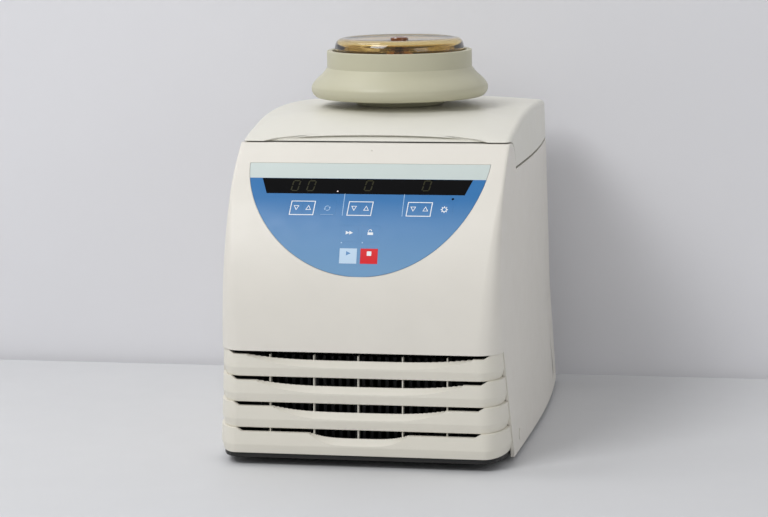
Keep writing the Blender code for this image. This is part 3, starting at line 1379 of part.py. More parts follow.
def build_rotor():
    base = LID_TOP + FIT_GAP
    place = Matrix.Translation((0.0, ROTOR_Y, base))
    height, radius, collar = ROTOR_HEIGHT, ROTOR_RADIUS, ROTOR_COLLAR
    rim_in = collar - ROTOR_RIM
    outside_shares = (
        (0.857, 0.054),
        (0.955, 0.128),
        (0.989, 0.204),
        (1.000, 0.270),
        (0.997, 0.322),
        (0.973, 0.396),
        (0.926, 0.472),
        (0.886, 0.544),
        (0.838, 0.620),
    )
    shelf_z = height * 0.78
    hub_z = HOLE_MOUTH_RISE - (HOLE_MOUTH - HUB_RADIUS * 1.5) * 0.72
    profile = [(rim_in, shelf_z), (rim_in, height), (collar, height), (collar, height * 0.69)]
    profile += [(radius * r, height * z) for r, z in reversed(outside_shares)]
    profile += [(ROTOR_FOOT, 0.0), (ROTOR_FOOT - ROTOR_RIM, 0.0), (ROTOR_FOOT - ROTOR_RIM * 1.5, height * 0.08)]
    profile += [(HUB_RADIUS + FIT_GAP, height * 0.12), (HUB_RADIUS + FIT_GAP, hub_z), (HUB_RADIUS * 1.5, hub_z)]
    rotor = turned("rotor_body", profile, "rotor_grey", place, closed=True)
    for k in range(ROTOR_HOLES):
        angle = tau * (k + 0.5) / ROTOR_HOLES
        out = Vector((cos(angle), sin(angle), 0.0))
        mouth = out * HOLE_MOUTH + Vector((0.0, ROTOR_Y, base + HOLE_MOUTH_RISE))
        slope = (out - Vector((0.0, 0.0, 1.0))).normalized()
        cut(rotor, cylinder(f"tube_hole_{k}", HOLE_RADIUS, mouth - slope * HOLE_RADIUS * 2, mouth + slope * HOLE_DEPTH, sides=10))

    hub_top = height * 0.95
    hub = [
        (0.0, hub_top),
        (HUB_RADIUS * 0.7, hub_top),
        (HUB_RADIUS, hub_top - ROTOR_RIM / 2),
        (HUB_RADIUS, height * 0.10),
        (SPINDLE_RADIUS, height * 0.10),
        (SPINDLE_RADIUS, height * 0.60),
        (0.0, height * 0.60),
    ]
    turned("rotor_hub", hub, "brass", place, sides=24)

    lid_r, wall, rise = ROTOR_LID_RADIUS, ROTOR_LID_WALL, ROTOR_LID_RISE
    top = height + rise
    dish = top - ROTOR_LID_WALL
    foot = height * 0.80 + ROTOR_RIM / 2
    knob_hole = KNOB_RADIUS + FIT_GAP
    lid = [
        (knob_hole, dish),
        (lid_r * 0.55, dish + wall * 0.35),
        (lid_r * 0.84, top),
        (lid_r * 0.92, top - wall * 0.35),
        (lid_r * 0.97, top - wall * 1.3),
        (lid_r, height + wall * 0.6),
        (lid_r, foot),
        (lid_r - wall, foot),
        (lid_r - wall, height + wall * 0.6),
        (lid_r * 0.92 - wall * 0.5, top - wall * 1.6),
        (lid_r * 0.55, dish - wall * 0.65),
        (knob_hole, dish - wall),
    ]
    turned("rotor_lid", lid, "amber", place, closed=True)
    seat = height * 0.78 + FIT_GAP
    seal = [
        (lid_r - wall * 1.5, foot - FIT_GAP),
        (lid_r + FIT_GAP, foot - FIT_GAP),
        (lid_r + wall * 0.4, (foot + seat) / 2),
        (lid_r, seat),
        (lid_r - wall * 1.2, seat),
    ]
    turned("rotor_lid_seal", seal, "rubber", place, closed=True)
    knob_top = top + wall * 0.15
    knob = [
        (0.0, knob_top - wall * 0.3),
        (KNOB_RADIUS * 0.6, knob_top - wall * 0.3),
        (KNOB_RADIUS * 0.85, knob_top),
        (KNOB_RADIUS, knob_top - wall * 0.3),
        (KNOB_RADIUS, dish - wall * 1.2),
        (KNOB_RADIUS * 0.6, dish - wall * 1.2),
        (KNOB_RADIUS * 0.5, hub_top + FIT_GAP),
        (0.0, hub_top + FIT_GAP),
    ]
    turned("rotor_lid_knob", knob, "knob_brown", place, sides=24)


build_housing()
build_grille()
build_lid()
build_hinges()
build_chamber()
build_chassis()
build_drive()
build_cooling()
build_electrics()
build_latch()
build_rotor()
bpy.context.view_layer.update()
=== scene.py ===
"""Dresses the refrigerated microcentrifuge: fine mouldings, printed panel, turned rotor and a soft studio.

Metres, +Z up, the front faces -Y, origin on the bench under the middle of the cabinet.
"""

import logging
from collections.abc import Iterable, Sequence
from dataclasses import dataclass, field
from enum import Enum
from math import acos, atan2, cos, pi, radians, sin, sqrt, tau

import bmesh
import bpy
from mathutils import Matrix, Vector


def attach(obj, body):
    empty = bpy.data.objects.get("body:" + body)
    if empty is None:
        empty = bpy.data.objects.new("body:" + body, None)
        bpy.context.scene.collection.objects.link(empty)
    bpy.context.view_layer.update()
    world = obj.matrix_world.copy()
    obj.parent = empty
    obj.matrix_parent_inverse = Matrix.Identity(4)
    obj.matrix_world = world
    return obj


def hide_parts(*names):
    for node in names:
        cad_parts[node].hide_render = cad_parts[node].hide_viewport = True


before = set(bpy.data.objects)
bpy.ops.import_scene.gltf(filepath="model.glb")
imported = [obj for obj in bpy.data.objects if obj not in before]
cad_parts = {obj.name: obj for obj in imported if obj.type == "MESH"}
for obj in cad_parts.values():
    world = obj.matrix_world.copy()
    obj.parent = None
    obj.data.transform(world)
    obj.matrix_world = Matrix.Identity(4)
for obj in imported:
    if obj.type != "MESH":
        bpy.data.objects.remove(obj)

LOG = logging.getLogger("centrifuge")
MM = 0.001
SEAM = 0.0003
OVERRUN = 0.010

Point2 = tuple[float, float]
Point3 = tuple[float, float, float]
Colour = tuple[float, float, float, float]


class Axis(Enum):
    """The world axis that something runs along."""

    X = (2, 0, 1)
    Y = (0, 2, 1)
    Z = (0, 1, 2)


class Body(Enum):
    """The moving bodies that scene pieces ride on."""

    CABINET = "cabinet"
    LID = "lid"
    ROTOR = "rotor"
    CAP = "rotor_cap"
    KNOB = "knob"


def share(value: float, low: float, high: float) -> float:
    """Where value lies between low and high, from 0 to 1."""
    return min(max((value - low) / (high - low), 0.0), 1.0)


def mix(low: float, high: float, part: float) -> float:
    """The value that far between low and high."""
    return low + (high - low) * part


def turns(steps: int, start: float = 0.0, stop: float = pi / 2) -> list[float]:
    """Evenly spaced angles, both ends included.

    Args:
        steps: how many intervals.
        start: the first angle.
        stop: the last angle.

    Returns:
        steps + 1 angles.
    """
    return [mix(start, stop, k / steps) for k in range(steps + 1)]


# Finishes


def linear(code: str) -> Colour:
    """An sRGB hex colour as linear light.

    Args:
        code: six hex digits after a hash.

    Returns:
        Red, green, blue and an alpha of one.
    """
    values = [int(code[k : k + 2], 16) / 255 for k in (1, 3, 5)]
    red, green, blue = (v / 12.92 if v <= 0.04045 else ((v + 0.055) / 1.055) ** 2.4 for v in values)
    return red, green, blue, 1.0


def add(
    tree: bpy.types.NodeTree, kind: str, links: dict[str | int, object] | None = None, **settings: object
) -> bpy.types.Node:
    """Adds one node with its settings and links.

    Args:
        tree: the material's tree.
        kind: the node's type.
        links: input names or numbers, each with a value or another node's output.
        settings: the node's own properties.

    Returns:
        The new node.
    """
    node = tree.nodes.new(kind)
    for key, value in settings.items():
        setattr(node, key, value)
    for key, value in (links or {}).items():
        if isinstance(value, bpy.types.NodeSocket):
            tree.links.new(value, node.inputs[key])
        else:
            node.inputs[key].default_value = value
    return node


@dataclass(frozen=True)
class Finish:
    """A moulded or painted surface; sizes in millimetres."""

    name: str
    colour: str
    roughness: float
    metallic: float = 0.0
    ior: float = 1.5
    wander: float = 0.03
    patch: float = 40.0
    grain: float = 0.8
    relief: float = 0.010
    edge: float = 0.5
    gloss_wander: float = 0.06

    def tone(self, tree: bpy.types.NodeTree, place: bpy.types.NodeSocket) -> bpy.types.NodeSocket:
        """The colour, wandering a little in broad patches.

        Args:
            tree: the material's tree.
            place: object coordinates.

        Returns:
            The colour socket.
        """
        base = linear(self.colour)
        low = tuple(c * (1 - self.wander) for c in base[:3]) + (1.0,)
        high = tuple(min(c * (1 + self.wander), 1.0) for c in base[:3]) + (1.0,)
        noise = add(tree, "ShaderNodeTexNoise", {"Vector": place, "Scale": 1 / (self.patch * MM), "Detail": 3.0})
        blend = add(tree, "ShaderNodeMix", {0: noise.outputs[0], 6: low, 7: high}, data_type="RGBA")
        return blend.outputs[2]

    def height(self, tree: bpy.types.NodeTree, place: bpy.types.NodeSocket) -> bpy.types.NodeSocket:
        """The fine texture's height.

        Args:
            tree: the material's tree.
            place: object coordinates.

        Returns:
            The height socket, from 0 to 1.
        """
        noise = add(tree, "ShaderNodeTexNoise", {"Vector": place, "Scale": 1 / (self.grain * MM), "Detail": 2.0})
        return noise.outputs[0]

    def finish(self, shader: bpy.types.Node) -> None:
        """Sets what only some finishes have, on the shader itself."""

    def material(self) -> bpy.types.Material:
        """The finish as a material, made once.

        Returns:
            The material.
        """
        made = bpy.data.materials.get(self.name)
        if made:
            return made
        made = bpy.data.materials.new(self.name)
        made.use_nodes = True
        tree = made.node_tree
        tree.nodes.clear()
        place = add(tree, "ShaderNodeTexCoord").outputs["Object"]
        smear = add(tree, "ShaderNodeTexNoise", {"Vector": place, "Scale": 1 / (self.patch * MM * 0.4), "Detail": 4.0})
        gloss = add(
            tree,
            "ShaderNodeMapRange",
            {
                "Value": smear.outputs[0],
                "From Min": 0.3,
                "From Max": 0.7,
                "To Min": max(self.roughness - self.gloss_wander, 0.02),
                "To Max": self.roughness + self.gloss_wander,
            },
        )
        edge = add(tree, "ShaderNodeBevel", {"Radius": self.edge * MM}, samples=4)
        bump = add(
            tree,
            "ShaderNodeBump",
            {"Distance": self.relief * MM, "Height": self.height(tree, place), "Normal": edge.outputs[0]},
        )
        shader = add(
            tree,
            "ShaderNodeBsdfPrincipled",
            {"Base Color": self.tone(tree, place), "Roughness": gloss.outputs[0], "Normal": bump.outputs[0]},
        )
        shader.inputs["Metallic"].default_value = self.metallic
        shader.inputs["IOR"].default_value = self.ior
        self.finish(shader)
        output = add(tree, "ShaderNodeOutputMaterial")
        tree.links.new(shader.outputs[0], output.inputs["Surface"])
        red, green, blue, _ = linear(self.colour)
        made.diffuse_color = (red, green, blue, 1.0)
        return made


@dataclass(frozen=True)
class TurnedFinish(Finish):
    """A surface cut on a lathe: rings round an upright axis at (0, centre_y)."""

    centre_y: float = 0.0

    def height(self, tree: bpy.types.NodeTree, place: bpy.types.NodeSocket) -> bpy.types.NodeSocket:
        """Rings that depend on radius and height only.

        Args:
            tree: the material's tree.
            place: object coordinates.

        Returns:
            The height socket, from 0 to 1.
        """
        moved = add(tree, "ShaderNodeVectorMath", {0: place, 1: (0.0, self.centre_y, 0.0)}, operation="SUBTRACT")
        parts = add(tree, "ShaderNodeSeparateXYZ", {0: moved.outputs[0]})
        flat = add(tree, "ShaderNodeCombineXYZ", {0: parts.outputs[0], 1: parts.outputs[1]})
        radius = add(tree, "ShaderNodeVectorMath", {0: flat.outputs[0]}, operation="LENGTH")
        ring = add(tree, "ShaderNodeCombineXYZ", {0: radius.outputs[1], 2: parts.outputs[2]})
        noise = add(
            tree,
            "ShaderNodeTexNoise",
            {"Vector": ring.outputs[0], "Scale": 1 / (self.grain * MM), "Detail": 1.0},
        )
        return noise.outputs[0]


@dataclass(frozen=True)
class BrushedFinish(Finish):
    """Sheet with the fine parallel lines of rolling or brushing."""

    along: Point3 = (0.04, 1.0, 1.0)

    def height(self, tree: bpy.types.NodeTree, place: bpy.types.NodeSocket) -> bpy.types.NodeSocket:
        """Noise drawn out along one axis.

        Args:
            tree: the material's tree.
            place: object coordinates.

        Returns:
            The height socket, from 0 to 1.
        """
        drawn = add(tree, "ShaderNodeMapping", {"Vector": place, "Scale": self.along})
        noise = add(
            tree,
            "ShaderNodeTexNoise",
            {"Vector": drawn.outputs[0], "Scale": 1 / (self.grain * MM), "Detail": 2.0},
        )
        return noise.outputs[0]


@dataclass(frozen=True)
class FilmFinish(Finish):
    """Printed polyester film whose ink runs from one blue at foot_z to another at head_z."""

    foot_colour: str = "#76a1c9"
    foot_z: float = 0.19
    head_z: float = 0.255

    def tone(self, tree: bpy.types.NodeTree, place: bpy.types.NodeSocket) -> bpy.types.NodeSocket:
        """The print's gradient up the panel, with the ink's slight unevenness.

        Args:
            tree: the material's tree.
            place: object coordinates.

        Returns:
            The colour socket.
        """
        parts = add(tree, "ShaderNodeSeparateXYZ", {0: place})
        level = add(
            tree,
            "ShaderNodeMapRange",
            {"Value": parts.outputs[2], "From Min": self.foot_z, "From Max": self.head_z},
        )
        print_run = add(
            tree,
            "ShaderNodeMix",
            {0: level.outputs[0], 6: linear(self.foot_colour), 7: linear(self.colour)},
            data_type="RGBA",
        )
        noise = add(tree, "ShaderNodeTexNoise", {"Vector": place, "Scale": 1 / (self.patch * MM), "Detail": 3.0})
        uneven = add(
            tree,
            "ShaderNodeMapRange",
            {"Value": noise.outputs[0], "To Min": 1 - self.wander, "To Max": 1 + self.wander},
        )
        inked = add(
            tree, "ShaderNodeVectorMath", {0: print_run.outputs[2], "Scale": uneven.outputs[0]}, operation="SCALE"
        )
        return inked.outputs[0]


@dataclass(frozen=True)
class CellFinish(Finish):
    """A foamed or cast surface with rounded cells."""

    def height(self, tree: bpy.types.NodeTree, place: bpy.types.NodeSocket) -> bpy.types.NodeSocket:
        """Rounded cells.

        Args:
            tree: the material's tree.
            place: object coordinates.

        Returns:
            The height socket, from 0 to 1.
        """
        cells = add(tree, "ShaderNodeTexVoronoi", {"Vector": place, "Scale": 1 / (self.grain * MM)})
        return cells.outputs["Distance"]


@dataclass(frozen=True)
class ClearFinish(Finish):
    """A clear moulded plastic, tinted in the mass."""

    clearness: float = 1.0

    def finish(self, shader: bpy.types.Node) -> None:
        """Lets light through."""
        shader.inputs["Transmission Weight"].default_value = self.clearness


@dataclass(frozen=True)
class CoatedFinish(Finish):
    """A surface under a clear gloss layer."""

    coat: float = 1.0
    coat_roughness: float = 0.03

    def finish(self, shader: bpy.types.Node) -> None:
        """Adds the clear layer."""
        shader.inputs["Coat Weight"].default_value = self.coat
        shader.inputs["Coat Roughness"].default_value = self.coat_roughness


ROTOR_Y = 0.018
CHAMBER_Y = 0.022


class Surface(Enum):
    """Every finish on the machine."""

    # Moulded ABS with a spark-eroded texture of about 0.3 mm, drawn at 0.9 mm: a soft satin without a mirror image.
    CREAM = Finish("moulded_abs_cream", "#e6e2d9", 0.42, grain=0.9, relief=0.012, edge=0.7)
    LID = Finish("moulded_abs_lid", "#e4e2d8", 0.40, grain=0.9, relief=0.012, edge=0.7)
    GRILLE = Finish("moulded_abs_grille", "#e4e0d4", 0.42, grain=0.9, relief=0.010, edge=0.5)
    # Polystyrene vacuum formed over a tool: duller and greyer, with a leathery swell.
    LINER = Finish("formed_polystyrene_grey", "#b3b5b2", 0.55, grain=1.6, relief=0.02)
    # Film printed on its rear side: even colour under a fine velvet gloss.
    FILM = FilmFinish("printed_polyester_film_blue", "#3576b2", 0.34, ior=1.35, grain=0.7, relief=0.004, edge=0.15, wander=0.02)
    STRIP = Finish("printed_polyester_film_pale", "#cdd8d5", 0.34, grain=0.7, relief=0.004, edge=0.15, wander=0.01)
    START = Finish("printed_polyester_film_sky", "#c6def4", 0.36, ior=1.35, grain=0.7, relief=0.004, edge=0.15, wander=0.02)
    STOP = Finish("printed_polyester_film_red", "#e01a25", 0.36, ior=1.35, grain=0.7, relief=0.004, edge=0.15, wander=0.02)
    WHITE_INK = Finish("screen_ink_white", "#f1f5f8", 0.45, grain=0.5, relief=0.004, edge=0.05, wander=0.02)
    FAINT_INK = Finish("screen_ink_faint", "#a9c9e6", 0.45, grain=0.5, relief=0.004, edge=0.05, wander=0.02)
    BLUE_INK = Finish("screen_ink_blue", "#5f93c8", 0.45, grain=0.5, relief=0.004, edge=0.05, wander=0.02)
    # Smoked acrylic window, flame polished: black with a sharp reflection.
    SMOKED = Finish("smoked_acrylic_window", "#030305", 0.10, ior=1.30, grain=8.0, relief=0.004, edge=0.1)
    DIGIT = Finish("unlit_display_segment", "#2a290e", 0.40, ior=1.3, grain=0.5, relief=0.003, edge=0.05)
    PILOT = Finish("pilot_lamp_lens", "#f0dedd", 0.30, grain=0.5, relief=0.003, edge=0.05)
    # Aluminium turned, then coated with baked epoxy: grey green, matt, faint lathe rings (0.2 mm feed drawn at 0.7).
    ROTOR = TurnedFinish(
        "turned_aluminium_epoxy_coated", "#c4c1a8", 0.40, grain=0.7, relief=0.006, edge=0.5, centre_y=ROTOR_Y
    )
    # Polycarbonate injection moulded and polished: amber, clear, with bright edges.
    AMBER = ClearFinish(
        "polished_polycarbonate_amber", "#ead08e", 0.045, ior=1.585, grain=14.0, relief=0.010, edge=0.3, gloss_wander=0.015
    )
    KNOB = CoatedFinish("polished_phenolic_brown", "#7a431d", 0.22, grain=0.6, relief=0.004, edge=0.3)
    BRONZE = TurnedFinish("turned_bronze", "#a8703f", 0.30, metallic=1.0, grain=0.5, relief=0.006, centre_y=ROTOR_Y)
    # Deep drawn stainless, ground: bright with fine rings.
    STAINLESS = TurnedFinish(
        "drawn_stainless_ground", "#b9bbbd", 0.26, metallic=1.0, grain=0.6, relief=0.004, centre_y=CHAMBER_Y
    )
    ZINC = BrushedFinish("zinc_plated_steel_sheet", "#a4a9ad", 0.38, metallic=0.95, grain=0.9, relief=0.006)
    BLACK_STEEL = CellFinish("powder_coated_steel_black", "#161616", 0.55, grain=0.9, relief=0.015)
    RUBBER = Finish("moulded_nitrile_rubber", "#1b1b1c", 0.78, grain=0.6, relief=0.02, wander=0.10)
    FOAM = CellFinish("poured_polyurethane_foam", "#d9cb9b", 0.90, grain=1.4, relief=0.25, wander=0.10)
    COPPER = Finish("drawn_copper_tube", "#b4693f", 0.30, metallic=1.0, grain=2.0, relief=0.006, wander=0.12, patch=12.0)
    # Condenser fins darkened to near black as painted shade, so the slots between the slats read dark: only a grey
    # edge shows between the slats.
    FINS = BrushedFinish("aluminium_fin_dark_as_painted_shade", "#1c1d1f", 0.50, grain=0.8, relief=0.008, along=(1.0, 1.0, 0.05))
    BLACK_PLASTIC = Finish("moulded_nylon_black", "#1a1a1c", 0.48, grain=0.7, relief=0.010, wander=0.08)
    MOTOR = CellFinish("cast_aluminium_painted_grey", "#3a3c3f", 0.50, grain=1.1, relief=0.03)
    BOARD = Finish("glass_epoxy_board_green", "#1f5c3a", 0.45, grain=1.2, relief=0.02, wander=0.10, patch=8.0)
    SCREW = BrushedFinish("zinc_plated_screw", "#9a9da0", 0.35, metallic=1.0, grain=0.4, relief=0.004)
    BENCH = Finish("studio_bench_pale", "#d8d9db", 0.55, grain=3.0, relief=0.010, patch=120.0, wander=0.012)
    BACKDROP = Finish("studio_backdrop_pale", "#e6e6ea", 0.80, grain=4.0, relief=0.010, patch=300.0, wander=0.010)


# Mesh tools


def link(name: str, mesh: bpy.types.Mesh, surface: Surface | None) -> bpy.types.Object:
    """Puts a mesh in the scene.

    Args:
        name: the piece's name.
        mesh: its mesh.
        surface: its finish, or none for a cutter.

    Returns:
        The object.
    """
    item = bpy.data.objects.new(name, mesh)
    bpy.context.scene.collection.objects.link(item)
    if surface:
        mesh.materials.clear()
        mesh.materials.append(surface.value.material())
    return item


def solid(
    name: str, verts: Iterable[Sequence[float]], faces: Iterable[Sequence[int]], surface: Surface | None = None
) -> bpy.types.Object:
    """A closed mesh from its corners and faces, normals out.

    Args:
        name: the piece's name.
        verts: its corners.
        faces: its faces, as corner numbers.
        surface: its finish, or none for a cutter.

    Returns:
        The object.
    """
    mesh = bpy.data.meshes.new(name)
    mesh.from_pydata([tuple(v) for v in verts], [], [tuple(f) for f in faces])
    bm = bmesh.new()
    bm.from_mesh(mesh)
    bmesh.ops.recalc_face_normals(bm, faces=bm.faces)
    bm.to_mesh(mesh)
    bm.free()
    return link(name, mesh, surface)


def loft(name: str, rings: Sequence[Sequence[Point3]], surface: Surface | None = None) -> bpy.types.Object:
    """A closed solid through rings of equally many points.

    Args:
        name: the piece's name.
        rings: the rings in order.
        surface: its finish, or none for a cutter.

    Returns:
        The object.
    """
    count = len(rings[0])
    verts = [point for ring in rings for point in ring]
    faces = [tuple(reversed(range(count))), tuple(range(len(verts) - count, len(verts)))]
    for row in range(len(rings) - 1):
        for k in range(count):
            after = (k + 1) % count
            low, high = row * count, (row + 1) * count
            faces.append((low + k, low + after, high + after, high + k))
    return solid(name, verts, faces, surface)


def prism(
    name: str, outline: Sequence[Point2], axis: Axis, start: float, stop: float, surface: Surface | None = None
) -> bpy.types.Object:
    """A flat outline pulled along an axis.

    Args:
        name: the piece's name.
        outline: its corners.
        axis: the axis it is pulled along.
        start: where it starts.
        stop: where it ends.
        surface: its finish, or none for a cutter.

    Returns:
        The object.
    """
    rings = []
    for level in (start, stop):
        rings.append([tuple((a, b, level)[k] for k in axis.value) for a, b in outline])
    return loft(name, rings, surface)


def block(name: str, low: Point3, high: Point3) -> bpy.types.Object:
    """A plain block for cutting.

    Args:
        name: the cutter's name.
        low: its lowest corner.
        high: its highest corner.

    Returns:
        The cutter.
    """
    outline = [(low[0], low[1]), (high[0], low[1]), (high[0], high[1]), (low[0], high[1])]
    return prism(name, outline, Axis.Z, low[2], high[2])


def turned(
    name: str,
    profile: Sequence[Point2],
    surface: Surface | None = None,
    place: Matrix | None = None,
    sides: int = 128,
    closed: bool = True,
) -> bpy.types.Object:
    """A (radius, height) profile swept round an upright axis.

    Args:
        name: the piece's name.
        profile: its section; points on the axis make one corner.
        surface: its finish, or none for a cutter.
        place: where the axis is, and how it leans.
        sides: how many facets round it.
        closed: whether the section closes on itself away from the axis.

    Returns:
        The object, with its place in its corners.
    """
    verts: list[Vector] = []
    rows: list[list[int]] = []
    for radius, height in profile:
        start = len(verts)
        if radius < MM / 1000:
            verts.append(Vector((0.0, 0.0, height)))
            rows.append([start] * sides)
            continue
        for angle in turns(sides, 0.0, tau)[:-1]:
            verts.append(Vector((radius * cos(angle), radius * sin(angle), height)))
        rows.append(list(range(start, start + sides)))
    pairs = list(zip(rows, rows[1:]))
    if closed and profile[0][0] > MM / 1000 and profile[-1][0] > MM / 1000:
        pairs.append((rows[-1], rows[0]))
    faces = []
    for one, two in pairs:
        for k in range(sides):
            after = (k + 1) % sides
            corners = list(dict.fromkeys((one[k], one[after], two[after], two[k])))
            if len(corners) > 2:
                faces.append(corners)
    matrix = place or Matrix.Identity(4)
    return solid(name, [matrix @ v for v in verts], faces, surface)


def rod(name: str, radius: float, start: Point3, stop: Point3, sides: int = 32) -> bpy.types.Object:
    """A round cutter from one point to another.

    Args:
        name: the cutter's name.
        radius: its radius.
        start: the middle of one end.
        stop: the middle of the other.
        sides: how many facets round it.

    Returns:
        The cutter.
    """
    first, last = Vector(start), Vector(stop)
    along = last - first
    place = Matrix.Translation(first) @ along.to_track_quat("Z", "Y").to_matrix().to_4x4()
    profile = [(0.0, 0.0), (radius, 0.0), (radius, along.length), (0.0, along.length)]
    return turned(name, profile, None, place, sides, closed=False)


def carve(item: bpy.types.Object, *others: bpy.types.Object, join: bool = False) -> bpy.types.Object:
    """Cuts pieces out of another, or joins them to it, and takes them away.

    Args:
        item: the piece that is worked.
        others: the cutters, or the pieces to join.
        join: whether they are joined.

    Returns:
        The worked piece.
    """
    for other in others:
        modifier = item.modifiers.new(other.name, "BOOLEAN")
        modifier.operation = "UNION" if join else "DIFFERENCE"
        modifier.solver = "EXACT"
        modifier.object = other
        graph = bpy.context.evaluated_depsgraph_get()
        mesh = bpy.data.meshes.new_from_object(item.evaluated_get(graph))
        item.modifiers.clear()
        item.data = mesh
        bpy.data.objects.remove(other, do_unlink=True)
    return item


def shade(item: bpy.types.Object, angle: float = 30.0, weighted: bool = True) -> bpy.types.Object:
    """Smooths a piece up to an angle.

    Args:
        item: the piece.
        angle: edges sharper than this stay crisp, in degrees.
        weighted: whether large faces keep their own direction.

    Returns:
        The piece.
    """
    item.data.shade_smooth()
    item.data.set_sharp_from_angle(angle=radians(angle))
    if weighted:
        modifier = item.modifiers.new("even_faces", "WEIGHTED_NORMAL")
        modifier.keep_sharp = True
        modifier.weight = 60
    return item


def present(item: bpy.types.Object, body: str, stands_for: Sequence[str] = ()) -> None:
    """Hangs a finished piece on its body's empty and hides the solids it replaces.

    Args:
        item: the piece.
        body: the body it rides on.
        stands_for: the solids it replaces.
    """
    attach(item, body)
    if stands_for:
        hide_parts(*stands_for)
    LOG.info("%s: %d faces, rides on %s", item.name, len(item.data.polygons), body)


def dress(surface: Surface, *nodes: str) -> None:
    """Gives solids their finish.

    Args:
        surface: the finish.
        nodes: the solids' names.
    """
    for name in nodes:
        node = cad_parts[name]
        if not node.material_slots:
            node.data.materials.append(None)
        for slot in node.material_slots:
            slot.material = surface.value.material()
        LOG.info("%s: %s", name, surface.value.name)


def rounded(points: Sequence[Point2], radius: float, steps: int = 5) -> list[Point2]:
    """An outline with each corner replaced by a short curve.

    Args:
        points: the corners of a closed outline.
        radius: how far from the corner the curve starts, at most.
        steps: how many points each curve has.

    Returns:
        The outline's new points.
    """
    result = []
    for k, point in enumerate(points):
        here = Vector(point)
        before, after = Vector(points[k - 1]) - here, Vector(points[(k + 1) % len(points)]) - here
        reach = min(radius, before.length * 0.45, after.length * 0.45)
        first, last = here + before.normalized() * reach, here + after.normalized() * reach
        for step in range(steps + 1):
            t = step / steps
            curve = first * (1 - t) ** 2 + here * 2 * t * (1 - t) + last * t**2
            result.append((curve.x, curve.y))
    return result


def swept(points: Sequence[Point2], steps: int = 6) -> list[Point2]:
    """A smooth curve through points.

    Args:
        points: the points it passes.
        steps: how many pieces each span is cut into.

    Returns:
        The curve's points.
    """
    held = [points[0], *points, points[-1]]
    result = []
    for before, start, stop, after in zip(held, held[1:], held[2:], held[3:]):
        for k in range(steps):
            t = k / steps
            curve = []
            for a, b, c, d in zip(before, start, stop, after):
                curve.append(0.5 * (2 * b + (c - a) * t + (2 * a - 5 * b + 4 * c - d) * t**2 + (3 * b - a - 3 * c + d) * t**3))
            result.append((curve[0], curve[1]))
    return [*result, points[-1]]


# The cabinet's form


